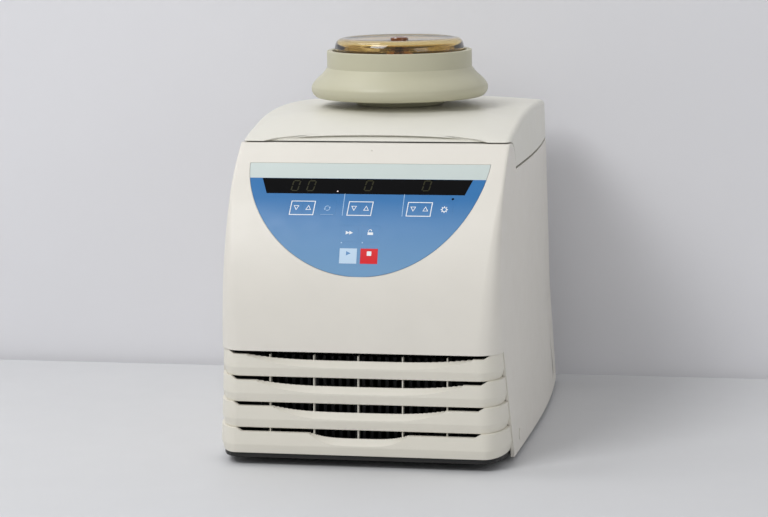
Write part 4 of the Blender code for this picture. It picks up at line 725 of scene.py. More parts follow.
@dataclass(frozen=True)
class Shell:
    """The outer surface that cabinet, grille and lid share."""

    width: float = 0.293
    depth: float = 0.450
    top: float = 0.330
    foot: float = 0.005
    wall: float = 0.0035
    bow_front: float = 0.0031
    bow_rear: float = 0.0108
    taper_low: float = 0.0064
    taper_high: float = 0.0053
    flare: float = 0.006
    rake: float = 0.187
    corner_width: float = 0.024
    corner_foot: float = 0.050
    corner_brow: float = 0.026
    corner_crown: float = 0.0035
    corner_crown_z: float = 0.265
    corner_least: float = 0.001
    rear_corner: float = 0.014
    grille_bottom: float = 0.0125
    grille_top: float = 0.1123
    corner_steps: int = 14
    side_steps: int = 12
    rear_steps: int = 8
    front_steps: int = 40

    def front_y(self, z: float) -> float:
        """The front on the centre line: flared grille, then a quarter ellipse up to the lid's top."""
        if z <= self.grille_top:
            return -self.depth / 2 + self.flare * share(z, self.grille_bottom, self.grille_top)
        rise = share(z, self.grille_top, self.top)
        return -self.depth / 2 + self.flare + self.rake * (1 - sqrt(1 - rise**2))

    def lean(self, z: float) -> float:
        """How far the front leans back at z, in radians."""
        height = self.top - self.grille_top
        rise = min(share(z, self.grille_top, self.top), 0.9999)
        return atan2(self.rake * rise / sqrt(1 - rise**2), height)

    def side_x(self, y: float, z: float) -> float:
        """Half the width: the sides bow in towards both ends and taper upwards."""
        bow = (self.bow_rear if y > 0 else self.bow_front) * (2 * y / self.depth) ** 2
        low = self.taper_low * share(z, self.grille_bottom, self.grille_top)
        high = self.taper_high * share(z, self.grille_top, self.top)
        return self.width / 2 - bow - low - high

    def corner(self, z: float, inset: float) -> Point2:
        """The front corner's width and run: broad at the grille, tight under the lid.

        Args:
            z: the height.
            inset: how far inside the outer surface.

        Returns:
            Its width and how far back it runs.
        """
        if z <= self.grille_top:
            run = mix(self.corner_foot, self.corner_brow, share(z, self.grille_bottom, self.grille_top))
            width = self.corner_width
        else:
            rise = share(z, self.grille_top, self.corner_crown_z)
            width = mix(self.corner_width, self.corner_crown, rise)
            run = mix(self.corner_brow, self.corner_crown, rise)
        return max(width - inset, self.corner_least), max(run - inset, self.corner_least)

    def corner_point(self, z: float, angle: float, inset: float) -> Point2:
        """A point of the front corner, from the front at 0 to the side at a quarter turn.

        Args:
            z: the height.
            angle: how far round.
            inset: how far inside the outer surface.

        Returns:
            Its x and y.
        """
        width, run = self.corner(z, inset)
        y = self.front_y(z) + inset + run
        x = self.side_x(y, z) - inset - width
        return x + width * sin(angle), y - run * cos(angle)

    def ring(self, z: float, inset: float = 0.0) -> list[Point3]:
        """The whole plan outline at a height.

        Args:
            z: the height.
            inset: how far inside the outer surface.

        Returns:
            Its points.
        """
        half = [self.corner_point(z, angle, inset) for angle in turns(self.corner_steps)]
        corner = self.rear_corner - inset
        start, stop = half[-1][1], self.depth / 2 - inset - corner
        for k in range(1, self.side_steps + 1):
            y = mix(start, stop, k / self.side_steps)
            half.append((self.side_x(y, z) - inset, y))
        x = half[-1][0] - corner
        half += [(x + corner * cos(a), stop + corner * sin(a)) for a in turns(self.rear_steps)[1:]]
        return [(x, y, z) for x, y in half] + [(-x, y, z) for x, y in reversed(half)]

    def levels(self, low: float, high: float) -> list[float]:
        """Heights that follow the front's curve evenly.

        Args:
            low: the lowest.
            high: the highest.

        Returns:
            The heights.
        """
        marks = [low] + [z for z in (self.grille_bottom, self.grille_top) if low < z < high]
        start = max(low, self.grille_top)
        first = pi / 2 - acos(share(start, self.grille_top, self.top))
        last = pi / 2 - acos(share(high, self.grille_top, self.top))
        for angle in turns(self.front_steps, first, last)[1:]:
            z = self.grille_top + (self.top - self.grille_top) * sin(angle)
            if z > marks[-1] + SEAM:
                marks.append(z)
        return marks

    def form(
        self, name: str, low: float, high: float, inset: float = 0.0, surface: Surface | None = None
    ) -> bpy.types.Object:
        """The body between two heights.

        Args:
            name: the piece's name.
            low: its foot.
            high: its top.
            inset: how far inside the outer surface.
            surface: its finish, or none for a cutter.

        Returns:
            The object.
        """
        return loft(name, [self.ring(z, inset) for z in self.levels(low, high)], surface)


@dataclass(frozen=True)
class Seam:
    """The parting between cabinet and lid."""

    front_z: float = 0.3046
    gap: float = 0.0012
    front_y: float = -0.114
    rear_y: float = -0.088
    groove_gap: float = 0.0002
    skirt_z: float = 0.278
    groove: float = 0.0025
    hinge_y: float = 0.205
    hinge_z: float = 0.2705
    far: float = 0.450

    def arc(self, shift: float, front_z: float, rear_z: float) -> list[Point2]:
        """The quarter round from the front parting line down to the side groove.

        Args:
            shift: how far it is moved back.
            front_z: its height in front.
            rear_z: its height behind.

        Returns:
            Its points as (y, z).
        """
        rise, run = front_z - rear_z, self.rear_y - self.front_y
        return [(self.front_y + shift + run * sin(a), front_z - rise * (1 - cos(a))) for a in turns(16)]

    def above(self) -> bpy.types.Object:
        """A cutter over the cabinet's upper edge."""
        front_z, rear_z, far = self.front_z - self.gap, self.skirt_z - self.groove, self.far
        outline = [(-far, front_z), *self.arc(-self.groove_gap, front_z, rear_z)]
        outline += [(self.hinge_y, rear_z), (self.hinge_y, self.hinge_z), (far, self.hinge_z), (far, far), (-far, far)]
        return prism("above", outline, Axis.X, -far, far)

    def below(self) -> bpy.types.Object:
        """A cutter under the lid's lower edge."""
        far = self.far
        outline = [(-far, self.front_z), *self.arc(0.0, self.front_z, self.skirt_z)]
        outline += [(far, self.skirt_z), (far, -far), (-far, -far)]
        return prism("below", outline, Axis.X, -far, far)


# The control panel


@dataclass
class Panel:
    """The printed half moon on the raked front, its window, keys and marks."""

    shell: Shell
    foot_z: float = 0.1845
    half: float = 0.1193
    arc: float = 0.130
    height: float = 0.1212
    face: float = 0.0001
    back: float = -0.0008
    recess: float = -0.0018
    edge_gap: float = 0.0004
    strip_foot: float = 0.1024
    window_foot: float = 0.0845
    window_height: float = 0.0177
    window_half: float = 0.104
    window_taper: float = 0.0065
    slant: float = 0.082
    rows: list[tuple[float, float]] = field(default_factory=list)

    def __post_init__(self) -> None:
        """Walks up the front once, for lengths along it."""
        steps = 600
        length, before = 0.0, (self.shell.front_y(self.foot_z), self.foot_z)
        self.rows.append((0.0, self.foot_z))
        for k in range(1, steps + 1):
            z = mix(self.foot_z, self.shell.top - self.shell.wall, k / steps)
            here = (self.shell.front_y(z), z)
            length += sqrt((here[0] - before[0]) ** 2 + (here[1] - before[1]) ** 2)
            before = here
            self.rows.append((length, z))

    def length(self, z: float) -> float:
        """How far up the panel a height is."""
        for (low, z_low), (high, z_high) in zip(self.rows, self.rows[1:]):
            if z_high >= z:
                return mix(low, high, share(z, z_low, z_high))
        return self.rows[-1][0]

    def point(self, x: float, length: float, outset: float) -> Point3:
        """A point of the panel.

        Args:
            x: across the machine.
            length: up the front from the panel's lowest point.
            outset: out of the front.

        Returns:
            Its place.
        """
        z = self.foot_z + length
        for (low, z_low), (high, z_high) in zip(self.rows, self.rows[1:]):
            if high >= length:
                z = mix(z_low, z_high, share(length, low, high))
                break
        lean = self.shell.lean(z)
        return x, self.shell.front_y(z) - outset * cos(lean), z + outset * sin(lean)

    def strips(self, edges: Sequence[tuple[float, float, float]], outer: float, inner: float) -> list[list[Point3]]:
        """Rings for a loft up the panel.

        Args:
            edges: (left, right, length) of each ring.
            outer: the outer face's height.
            inner: the inner face's height.

        Returns:
            The rings.
        """
        rings = []
        for left, right, at in edges:
            corners = ((left, outer), (right, outer), (right, inner), (left, inner))
            rings.append([self.point(x, at, outset) for x, outset in corners])
        return rings

    def moon(
        self, name: str, outer: float, inner: float, grow: float = 0.0, surface: Surface | None = None
    ) -> bpy.types.Object:
        """The half moon, widened by grow.

        Args:
            name: the piece's name.
            outer: the outer face's height.
            inner: the inner face's height.
            grow: how much wider it is.
            surface: its finish, or none for a cutter.

        Returns:
            The object.
        """
        stop = acos(1 - self.height / self.arc)
        angles = turns(72, stop / 160, stop)
        strip = acos(1 - self.strip_foot / self.arc)
        nearest = min(range(len(angles)), key=lambda k: abs(angles[k] - strip))
        angles[nearest] = strip
        edges = []
        for k, angle in enumerate(angles):
            half = self.half * sin(angle) + grow
            edges.append((-half, half, self.arc * (1 - cos(angle)) + grow * (2 * k / (len(angles) - 1) - 1)))
        return loft(name, self.strips(edges, outer, inner), surface)

    def pad(
        self,
        name: str,
        left: float,
        right: float,
        foot: float,
        height: float,
        surface: Surface | None = None,
        grow: float = 0.0,
        foot_cut: float = 0.0,
        outer: float | None = None,
    ) -> bpy.types.Object:
        """A pad on the front.

        Args:
            name: the piece's name.
            left: its left edge.
            right: its right edge.
            foot: its foot, up the panel.
            height: its height up the panel.
            surface: its finish, or none for a cutter that passes through.
            grow: how much wider it is all round.
            foot_cut: how much narrower its foot is on each side.
            outer: its outer face's height, where it isn't the panel's.

        Returns:
            The object.
        """
        edges = []
        for k in range(7):
            part = k / 6
            cut = foot_cut * (1 - part)
            edges.append((left - grow + cut, right + grow - cut, mix(foot - grow, foot + height + grow, part)))
        face = self.face if outer is None else outer
        heights = (face, self.back) if surface else (OVERRUN, -OVERRUN)
        return loft(name, self.strips(edges, *heights), surface)

    def hollow(self) -> bpy.types.Object:
        """The recess in the front that takes film, window and keys."""
        return self.moon("panel_recess", OVERRUN, self.recess, grow=self.edge_gap)


@dataclass(frozen=True)
class Key:
    """One key: left edge, foot and size along the panel, and its film."""

    node: str
    left: float
    foot: float
    width: float
    height: float
    film: Surface = Surface.FILM
    slot: str = "key_blue"

    @property
    def middle(self) -> Point2:
        """The key's middle, across and up the panel."""
        return self.left + self.width / 2, self.foot + self.height / 2


@dataclass
class Keypad:
    """Overlay film, display window, twelve keys and the marks printed on them."""

    panel: Panel
    pitch: float = 0.0138
    row: float = 0.0610
    tall: float = 0.0155
    wide: float = 0.0170
    margin: float = 0.00003
    ink: float = 0.00005
    line: float = 0.00085
    fine: float = 0.0006
    span: float = 0.0020
    box_inset: float = 0.0011
    digit_height: float = 0.0114

    def keys(self) -> list[Key]:
        """Every key, row by row."""
        row, tall, pitch, wide = self.row, self.tall, self.pitch, self.wide
        found = []
        for name, left in (("speed", -0.0738), ("time", -0.0169), ("temperature", 0.0410)):
            found.append(Key(f"{name}_down_key", left, row, pitch, tall))
            found.append(Key(f"{name}_up_key", left + pitch, row, pitch, tall))
        found.append(Key("unit_key", -0.0353 - wide / 2, row, wide, tall))
        found.append(Key("precool_key", 0.0791 - wide / 2, row, wide, tall))
        found.append(Key("pulse_key", -0.0194, 0.0345, wide, 0.0165))
        found.append(Key("open_key", 0.0010, 0.0345, wide, 0.0165))
        found.append(Key("start_key", -0.0194, 0.0128, wide, 0.0150, Surface.START, "key_pale"))
        found.append(Key("stop_key", 0.0010, 0.0128, wide, 0.0150, Surface.STOP, "key_red"))
        return found

    def build(self) -> None:
        """Makes the film, the window, the keys and everything printed."""
        panel = self.panel
        film = panel.moon("overlay_film", panel.face, panel.back, surface=Surface.FILM)
        window = (panel.window_foot, panel.window_height)
        half = panel.window_half
        carve(film, panel.pad("window_opening", -half, half, *window, grow=self.margin, foot_cut=panel.window_taper))
        for key in self.keys():
            carve(film, panel.pad("key_opening", key.left, key.left + key.width, key.foot, key.height))
        film.data.materials.append(Surface.STRIP.value.material())
        limit = panel.point(0.0, panel.strip_foot, 0.0)[2]
        for face in film.data.polygons:
            face.material_index = int(face.center.z > limit)
        shade(film, 20)
        present(film, Body.CABINET.value, ["control_overlay"])

        lens = panel.pad("window_lens", -half, half, *window, Surface.SMOKED, foot_cut=panel.window_taper)
        shade(lens, 20)
        present(lens, Body.CABINET.value, ["display_window"])
        for key in self.keys():
            gap = self.margin
            pad = panel.pad(
                key.node.replace("_key", "_pad"),
                key.left + gap,
                key.left + key.width - gap,
                key.foot + gap,
                key.height - 2 * gap,
                key.film,
            )
            present(shade(pad, 20), key.node, [key.node])
        self.print_marks()

    def stamp(self, name: str, shapes: Sequence[Sequence[Point2]], surface: Surface, body: str) -> None:
        """Prints filled shapes on the panel.

        Args:
            name: the piece's name.
            shapes: closed outlines, across and up the panel.
            surface: the ink.
            body: the body it rides on.
        """
        verts: list[Point3] = []
        faces: list[tuple[int, ...]] = []
        for shape in shapes:
            start, count = len(verts), len(shape)
            for outset in (self.panel.face + self.ink, self.panel.face - self.ink):
                verts += [self.panel.point(x, length, outset) for x, length in shape]
            faces.append(tuple(range(start, start + count)))
            faces.append(tuple(reversed(range(start + count, start + 2 * count))))
            for k in range(count):
                after = (k + 1) % count
                faces.append((start + k, start + count + k, start + count + after, start + after))
        item = solid(name, verts, faces, surface)
        present(shade(item, 20, weighted=False), body)

    def stroke(self, points: Sequence[Point2], width: float, closed: bool = False) -> list[list[Point2]]:
        """A line of constant width as mitred pieces, short enough to follow the panel's curve.

        Args:
            points: its corners.
            width: its width.
            closed: whether it runs back to its start.

        Returns:
            The pieces' outlines.
        """
        count = len(points)
        rails = []
        for k, point in enumerate(points):
            here = Vector(point)
            before = Vector(points[k - 1]) if closed or k else None
            after = Vector(points[(k + 1) % count]) if closed or k < count - 1 else None
            ways = [(here - before).normalized()] if before else []
            ways += [(after - here).normalized()] if after else []
            normals = [Vector((-way.y, way.x)) for way in ways]
            normal = sum(normals, Vector((0.0, 0.0))).normalized()
            reach = width / 2 / max(normal.dot(normals[0]), 0.4)
            rails.append((here + normal * reach, here - normal * reach))
        pieces = []
        for (a, b), (c, d) in zip(rails, rails[1:] + rails[:1]) if closed else zip(rails, rails[1:]):
            steps = max(round((c - a).length / self.span), 1)
            for k in range(steps):
                low, high = k / steps, (k + 1) / steps
                corners = (a.lerp(c, low), a.lerp(c, high), b.lerp(d, high), b.lerp(d, low))
                pieces.append([tuple(corner) for corner in corners])
        return pieces

    def arrow(self, x: float, length: float, size: float, up: bool) -> list[Point2]:
        """A triangle that points up or down."""
        sign = 1 if up else -1
        foot = length - sign * size * 0.45
        return [(x - size / 2, foot), (x + size / 2, foot), (x, length + sign * size * 0.5)]

    def circle(self, x: float, length: float, radius: float, steps: int = 20) -> list[Point2]:
        """A circle's points."""
        return [(x + radius * cos(a), length + radius * sin(a)) for a in turns(steps, 0.0, tau)[:-1]]

    def print_marks(self) -> None:
        """Prints the boxes, arrows, symbols and lines."""
        keys = {key.node: key for key in self.keys()}
        line, fine, cabinet = self.line, self.fine, Body.CABINET.value
        inset = line / 2 + self.margin
        lean = self.panel.slant * (self.tall - 2 * inset)
        for name in ("speed", "time", "temperature"):
            for word, side in (("down", -1), ("up", 1)):
                key = keys[f"{name}_{word}_key"]
                x, middle = key.middle
                inner = x - side * (key.width / 2 - self.margin)
                outer = x + side * (key.width / 2 - self.box_inset - inset - lean / 2)
                low, high = key.foot + inset, key.foot + key.height - inset
                bracket = [(inner, low), (outer - lean / 2, low), (outer + lean / 2, high), (inner, high)]
                shapes = self.stroke(bracket, line)
                shapes += self.stroke(self.arrow(x - side * 0.0009, middle + 0.0003, 0.0046, side > 0), fine, closed=True)
                self.stamp(f"{name}_{word}_mark", shapes, Surface.WHITE_INK, key.node)

        x, middle = keys["unit_key"].middle
        shapes = []
        for start in (0.35 * pi, 1.35 * pi):
            arc = [(x + 0.0024 * cos(a), middle + 0.0024 * sin(a)) for a in turns(10, start, start + 0.72 * pi)]
            shapes += self.stroke(arc, fine)
            tip = arc[-1]
            point = tip[1] + (0.0014 if start > pi else -0.0014)
            shapes.append([(tip[0] - 0.0011, tip[1]), (tip[0] + 0.0011, tip[1]), (tip[0], point)])
        shapes += self.stroke([(x - 0.0062, middle - 0.0068), (x + 0.0062, middle - 0.0068)], self.fine / 2)
        self.stamp("unit_mark", shapes, Surface.FAINT_INK, "unit_key")

        x, middle = keys["precool_key"].middle
        shapes = self.stroke(self.circle(x, middle, 0.0021), 0.0007, closed=True)
        for angle in turns(8, 0.0, tau)[:-1]:
            out = Vector((cos(angle), sin(angle)))
            spoke = [(x + out.x * 0.0023, middle + out.y * 0.0023), (x + out.x * 0.0035, middle + out.y * 0.0035)]
            shapes += self.stroke(spoke, 0.0009)
        self.stamp("precool_mark", shapes, Surface.WHITE_INK, "precool_key")

        x, level = -0.0112, self.panel.length(0.2247)
        shapes = []
        for left in (x - 0.0036, x - 0.0001):
            shapes.append([(left, level - 0.0019), (left + 0.0037, level), (left, level + 0.0019)])
        self.stamp("pulse_mark", shapes, Surface.WHITE_INK, "pulse_key")
        x, level = 0.0093, self.panel.length(0.2243)
        low, high = level - 0.0015, level + 0.0011
        shapes = [[(x - 0.0027, low), (x + 0.0027, low), (x + 0.0027, high), (x - 0.0027, high)]]
        hasp = [(x - 0.0020 + 0.0017 * (1 - cos(a)), level + 0.0017 + 0.0022 * sin(a)) for a in turns(10, 0.0, pi * 0.92)]
        shapes += self.stroke(hasp, fine)
        self.stamp("open_mark", shapes, Surface.WHITE_INK, "open_key")

        x, level = keys["start_key"].middle[0], keys["start_key"].middle[1] + 0.0026
        triangle = [(x - 0.0021, level - 0.0021), (x + 0.0025, level), (x - 0.0021, level + 0.0021)]
        self.stamp("start_mark", [triangle], Surface.BLUE_INK, "start_key")
        x, level = keys["stop_key"].middle[0], keys["stop_key"].middle[1] + 0.0026
        half = 0.0022
        corners = ((-half, -half), (half, -half), (half, half), (-half, half))
        square = rounded([(x + across, level + up) for across, up in corners], half / 4)
        self.stamp("stop_mark", [square], Surface.WHITE_INK, "stop_key")

        for name, x, z, size, surface in (
            ("pulse_dot", -0.0183, 0.2156, 0.0007, Surface.FAINT_INK),
            ("open_dot", 0.0022, 0.2159, 0.0007, Surface.FAINT_INK),
            ("sensor_dot", 0.0864, 0.2558, 0.0012, Surface.SMOKED),
            ("pilot_dot", -0.0272, 0.2615, 0.0008, Surface.PILOT),
        ):
            body = {"pulse_dot": "pulse_key", "open_dot": "open_key"}.get(name, cabinet)
            self.stamp(name, [self.circle(x, self.panel.length(z), size)], surface, body)
        shapes = []
        for foot, head in ((-0.0199, -0.0196), (0.0386, 0.0389)):
            shapes += self.stroke([(foot, self.panel.length(0.2400)), (head, self.panel.length(0.2594))], fine)
        self.stamp("divider_lines", shapes, Surface.FAINT_INK, cabinet)

        shapes = []
        for x, z in ((-0.0695, 0.2662), (-0.0540, 0.2662), (0.0028, 0.2668), (0.0596, 0.2672)):
            shapes += self.digit(x, self.panel.length(z), self.digit_height)
        self.stamp("display_zeros", shapes, Surface.DIGIT, cabinet)

    def digit(self, x: float, length: float, height: float) -> list[list[Point2]]:
        """The six outer segments of a seven-segment nought.

        Args:
            x: its middle across.
            length: its middle up the panel.
            height: its height.

        Returns:
            The segments' outlines.
        """
        half, wide, bar, gap = height / 2, height * 0.29, height * 0.11, height * 0.05
        segments = []
        for end in (-1, 1):
            y = length + end * half
            segments += self.stroke([(x - wide + gap + end * gap, y), (x + wide - gap + end * gap, y)], bar)
            for side in (-1, 1):
                foot = (x + side * wide, length + end * gap)
                head = (x + side * wide + end * gap * 1.5, y - end * gap)
                segments += self.stroke([foot, head], bar)
        return segments


# Cabinet, grille and lid


@dataclass
class Cabinet:
    """The front-and-sides moulding, the rear cover and their small parts."""

    shell: Shell
    seam: Seam
    panel: Panel
    flange_z: float = 0.264
    flange: float = 0.009
    cover: float = 0.012
    edge_top_y: float = -0.1925
    edge_foot_y: float = -0.1732
    plug: Point3 = (0.0055, -0.136, 0.0195)
    screw: Point3 = (0.0028, 0.165, 0.025)
    inlet: tuple[float, float, float, float] = (-0.085, 0.060, 0.0135, 0.0100)
    switch: Point3 = (-0.040, 0.0105, 0.0070)

    def hollow(self, item: bpy.types.Object) -> None:
        """Cuts the inside, the throat and everything over the parting line out of a moulding."""
        shell, seam = self.shell, self.seam
        top = seam.front_z + seam.gap
        carve(
            item,
            shell.form("cavity", shell.foot - OVERRUN, self.flange_z, shell.wall),
            shell.form("throat", self.flange_z - OVERRUN, top + OVERRUN, self.flange),
            seam.above(),
        )

    def build(self) -> None:
        """Makes the housing, the rear cover and the screw."""
        shell, seam = self.shell, self.seam
        top = seam.front_z + seam.gap
        split = shell.depth / 2 - self.cover
        far = shell.depth
        housing = shell.form("housing_moulding", shell.foot, top, surface=Surface.CREAM)
        self.hollow(housing)
        grille_zone = prism(
            "grille_zone",
            [
                (-far, -OVERRUN),
                (self.edge_foot_y, -OVERRUN),
                (self.edge_foot_y, shell.foot),
                (self.edge_top_y, shell.grille_top),
                (-far, shell.grille_top),
            ],
            Axis.X,
            -far,
            far,
        )
        radius, y, z = self.plug
        seat = rod("plug_seat", radius + SEAM, (far / 4, y, z), (far / 2, y, z))
        rear_zone = block("rear_zone", (-far, split - SEAM, -far), (far, far, far))
        carve(housing, rear_zone, grille_zone, self.panel.hollow(), seat)
        radius, y, z = self.screw
        x = shell.side_x(y, z)
        carve(housing, rod("screw_seat", radius, (x - shell.wall / 3, y, z), (far / 2, y, z)))
        speck = self.panel.length(0.2971)
        deep, near = (self.panel.point(-0.0004, speck, outset) for outset in (-0.0012, OVERRUN))
        carve(housing, rod("front_dimple", 0.0006, deep, near, 16))
        present(shade(housing, 28), Body.CABINET.value, ["front_housing"])

        rear = shell.form("rear_moulding", shell.foot, 0.279, surface=Surface.CREAM)
        self.hollow(rear)
        carve(rear, block("front_zone", (-far, -far, -far), (far, split - SEAM / 2, far)), *self.rear_openings(split))
        present(shade(rear, 28), Body.CABINET.value, ["rear_panel"])
        self.add_screw()
        dress(Surface.CREAM, "release_plug")
        dress(Surface.BLACK_PLASTIC, "power_inlet", "power_switch")

    def rear_openings(self, start: float) -> list[bpy.types.Object]:
        """Cutters for the power inlet, the switch and the vent slots.

        Args:
            start: where the rear cover starts.

        Returns:
            The cutters.
        """
        stop, wall = self.shell.depth, self.shell.wall
        x, z, half_x, half_z = self.inlet
        half_x, half_z = half_x + wall + SEAM, half_z + wall + SEAM
        cutters = [block("inlet_opening", (x - half_x, start, z - half_z), (x + half_x, stop, z + half_z))]
        x, half_x, half_z = self.switch
        half_x, half_z = half_x + SEAM, half_z + SEAM
        cutters.append(block("switch_opening", (x - half_x, start, z - half_z), (x + half_x, stop, z + half_z)))
        for k in range(8):
            low, half, high = 0.178 - 0.014 * k, 0.085, 0.005
            slot = rounded([(-half, low), (half, low), (half, low + high), (-half, low + high)], high / 2)
            cutters.append(prism(f"vent_{k}", slot, Axis.Y, start, stop))
        return cutters

    def add_screw(self) -> None:
        """A countersunk screw with a cross recess in the right side's seat."""
        radius, y, z = self.screw
        radius -= SEAM
        x = self.shell.side_x(y, z) - self.shell.wall / 3
        place = Matrix.Translation((x, y, z)) @ Matrix.Rotation(pi / 2, 4, "Y")
        profile = [(0.0, 0.0), (radius, 0.0), (radius, 0.0006), (radius * 0.8, 0.0009), (0.0, 0.0010)]
        head = turned("side_screw", profile, Surface.SCREW, place, 32, closed=False)
        arm = radius * 0.6
        for wide, tall in ((arm, arm / 4), (arm / 4, arm)):
            carve(head, block("recess", (x + 0.0004, y - wide, z - tall), (x + OVERRUN, y + wide, z + tall)))
        present(shade(head, 30), Body.CABINET.value)


@dataclass
class Grille:
    """Four slats in one moulding, with scooped upper edges and ribs behind."""

    shell: Shell
    wall: float = 0.0048
    step_back: float = 0.0012
    slats: int = 4
    slot: float = 0.0036
    slot_half: float = 0.122
    slot_half_last: float = 0.114
    slot_slant: float = 0.006
    undercut: float = 0.0030
    facet: float = 0.0087
    lip: float = 0.0006
    front_drop: float = 0.0108
    rear_drop: float = 0.0048
    scoop_halves: tuple[float, ...] = (0.112, 0.1025, 0.0855, 0.0485)
    rib_pitch: float = 0.0433
    rib_thick: float = 0.0009
    rib_back: float = 0.0050

    def rows(self) -> list[Point2]:
        """The outer face, bottom to top, as (height, inset)."""
        shell, lip = self.shell, self.lip
        pitch = (shell.grille_top - shell.grille_bottom) / self.slats
        rows = []
        for k in range(self.slats):
            foot = shell.grille_bottom + pitch * k
            slope = self.undercut / self.facet
            rows += [(foot, self.undercut + lip * 0.5), (foot + lip * 0.6, self.undercut - slope * lip)]
            rows += [(foot + self.facet - lip, slope * lip), (foot + self.facet + lip * 0.6, 0.0)]
            rows += [(foot + pitch - lip * 1.2, 0.0), (foot + pitch - lip * 0.5, lip * 0.25), (foot + pitch - SEAM / 2, lip * 0.9)]
        return rows

    def section(self, side: int, angle: float) -> list[Point3]:
        """One upright section of the wall.

        Args:
            side: -1 for the left corner, 1 for the right.
            angle: how far round the corner.

        Returns:
            A closed ring.
        """
        back = mix(SEAM, self.step_back, sin(angle) ** 2)
        rows = [(z, back + inset) for z, inset in self.rows()]
        rows += [(rows[-1][0], back + self.wall), (rows[0][0], back + self.wall)]
        points = [(self.shell.corner_point(z, angle, inset), z) for z, inset in rows]
        return [(side * x, y, z) for (x, y), z in points]

    def scoop(self, half: float, top: float) -> bpy.types.Object:
        """The dish in a slat's upper edge.

        Args:
            half: half its width.
            top: the edge's height.

        Returns:
            The cutter.
        """
        y = self.shell.front_y(top)
        slope = (self.front_drop - self.rear_drop) / self.wall
        rings = []
        for station, ahead in ((y - OVERRUN, OVERRUN), (y + self.wall * 2, -self.wall * 2)):
            drop = self.front_drop + slope * ahead
            parts = [2 * k / 40 - 1 for k in range(41)]
            points = [(half * p, station, top - drop * (1 - p**4)) for p in parts]
            rings.append(points + [(half, station, top + self.slot / 2), (-half, station, top + self.slot / 2)])
        return loft("scoop", rings)

    def build(self) -> None:
        """Makes the moulding and its ribs."""
        shell = self.shell
        angles = turns(18)
        sections = [self.section(-1, a) for a in reversed(angles)] + [self.section(1, a) for a in angles]
        grille = loft("grille_moulding", sections, Surface.GRILLE)
        pitch = (shell.grille_top - shell.grille_bottom) / self.slats
        near, far = -shell.depth / 2 - OVERRUN, -shell.depth / 2 + shell.corner_foot
        for k, scoop_half in enumerate(self.scoop_halves):
            top = shell.grille_top - pitch * k
            half = mix(self.slot_half, self.slot_half_last, k / (self.slats - 1))
            high = top + (OVERRUN if k == 0 else 0.0)
            outline = [(-half, top - self.slot), (half, top - self.slot), (half + self.slot_slant, top)]
            outline += [(half + self.slot_slant, high), (-half - self.slot_slant, high)] if k == 0 else []
            outline.append((-half - self.slot_slant, top))
            carve(grille, prism("slot", outline, Axis.Y, near, far), self.scoop(scoop_half, top - self.slot))
        present(shade(grille, 22), Body.CABINET.value, ["louvre_grille"])

        ribs: list[bpy.types.Object] = []
        low, high = 0.0233, shell.grille_top - self.slot
        for k in range(5):
            x = self.rib_pitch * (k - 2)
            outline = [(shell.front_y(z) + self.rib_back, z) for z in (low, high)]
            outline += [(shell.front_y(z) + 0.012, z) for z in (high, low)]
            half = self.rib_thick / 2
            ribs.append(prism(f"grille_rib_{k + 1}", outline, Axis.X, x - half, x + half, Surface.GRILLE))
        for rib in ribs:
            present(shade(rib, 22, weighted=False), Body.CABINET.value)


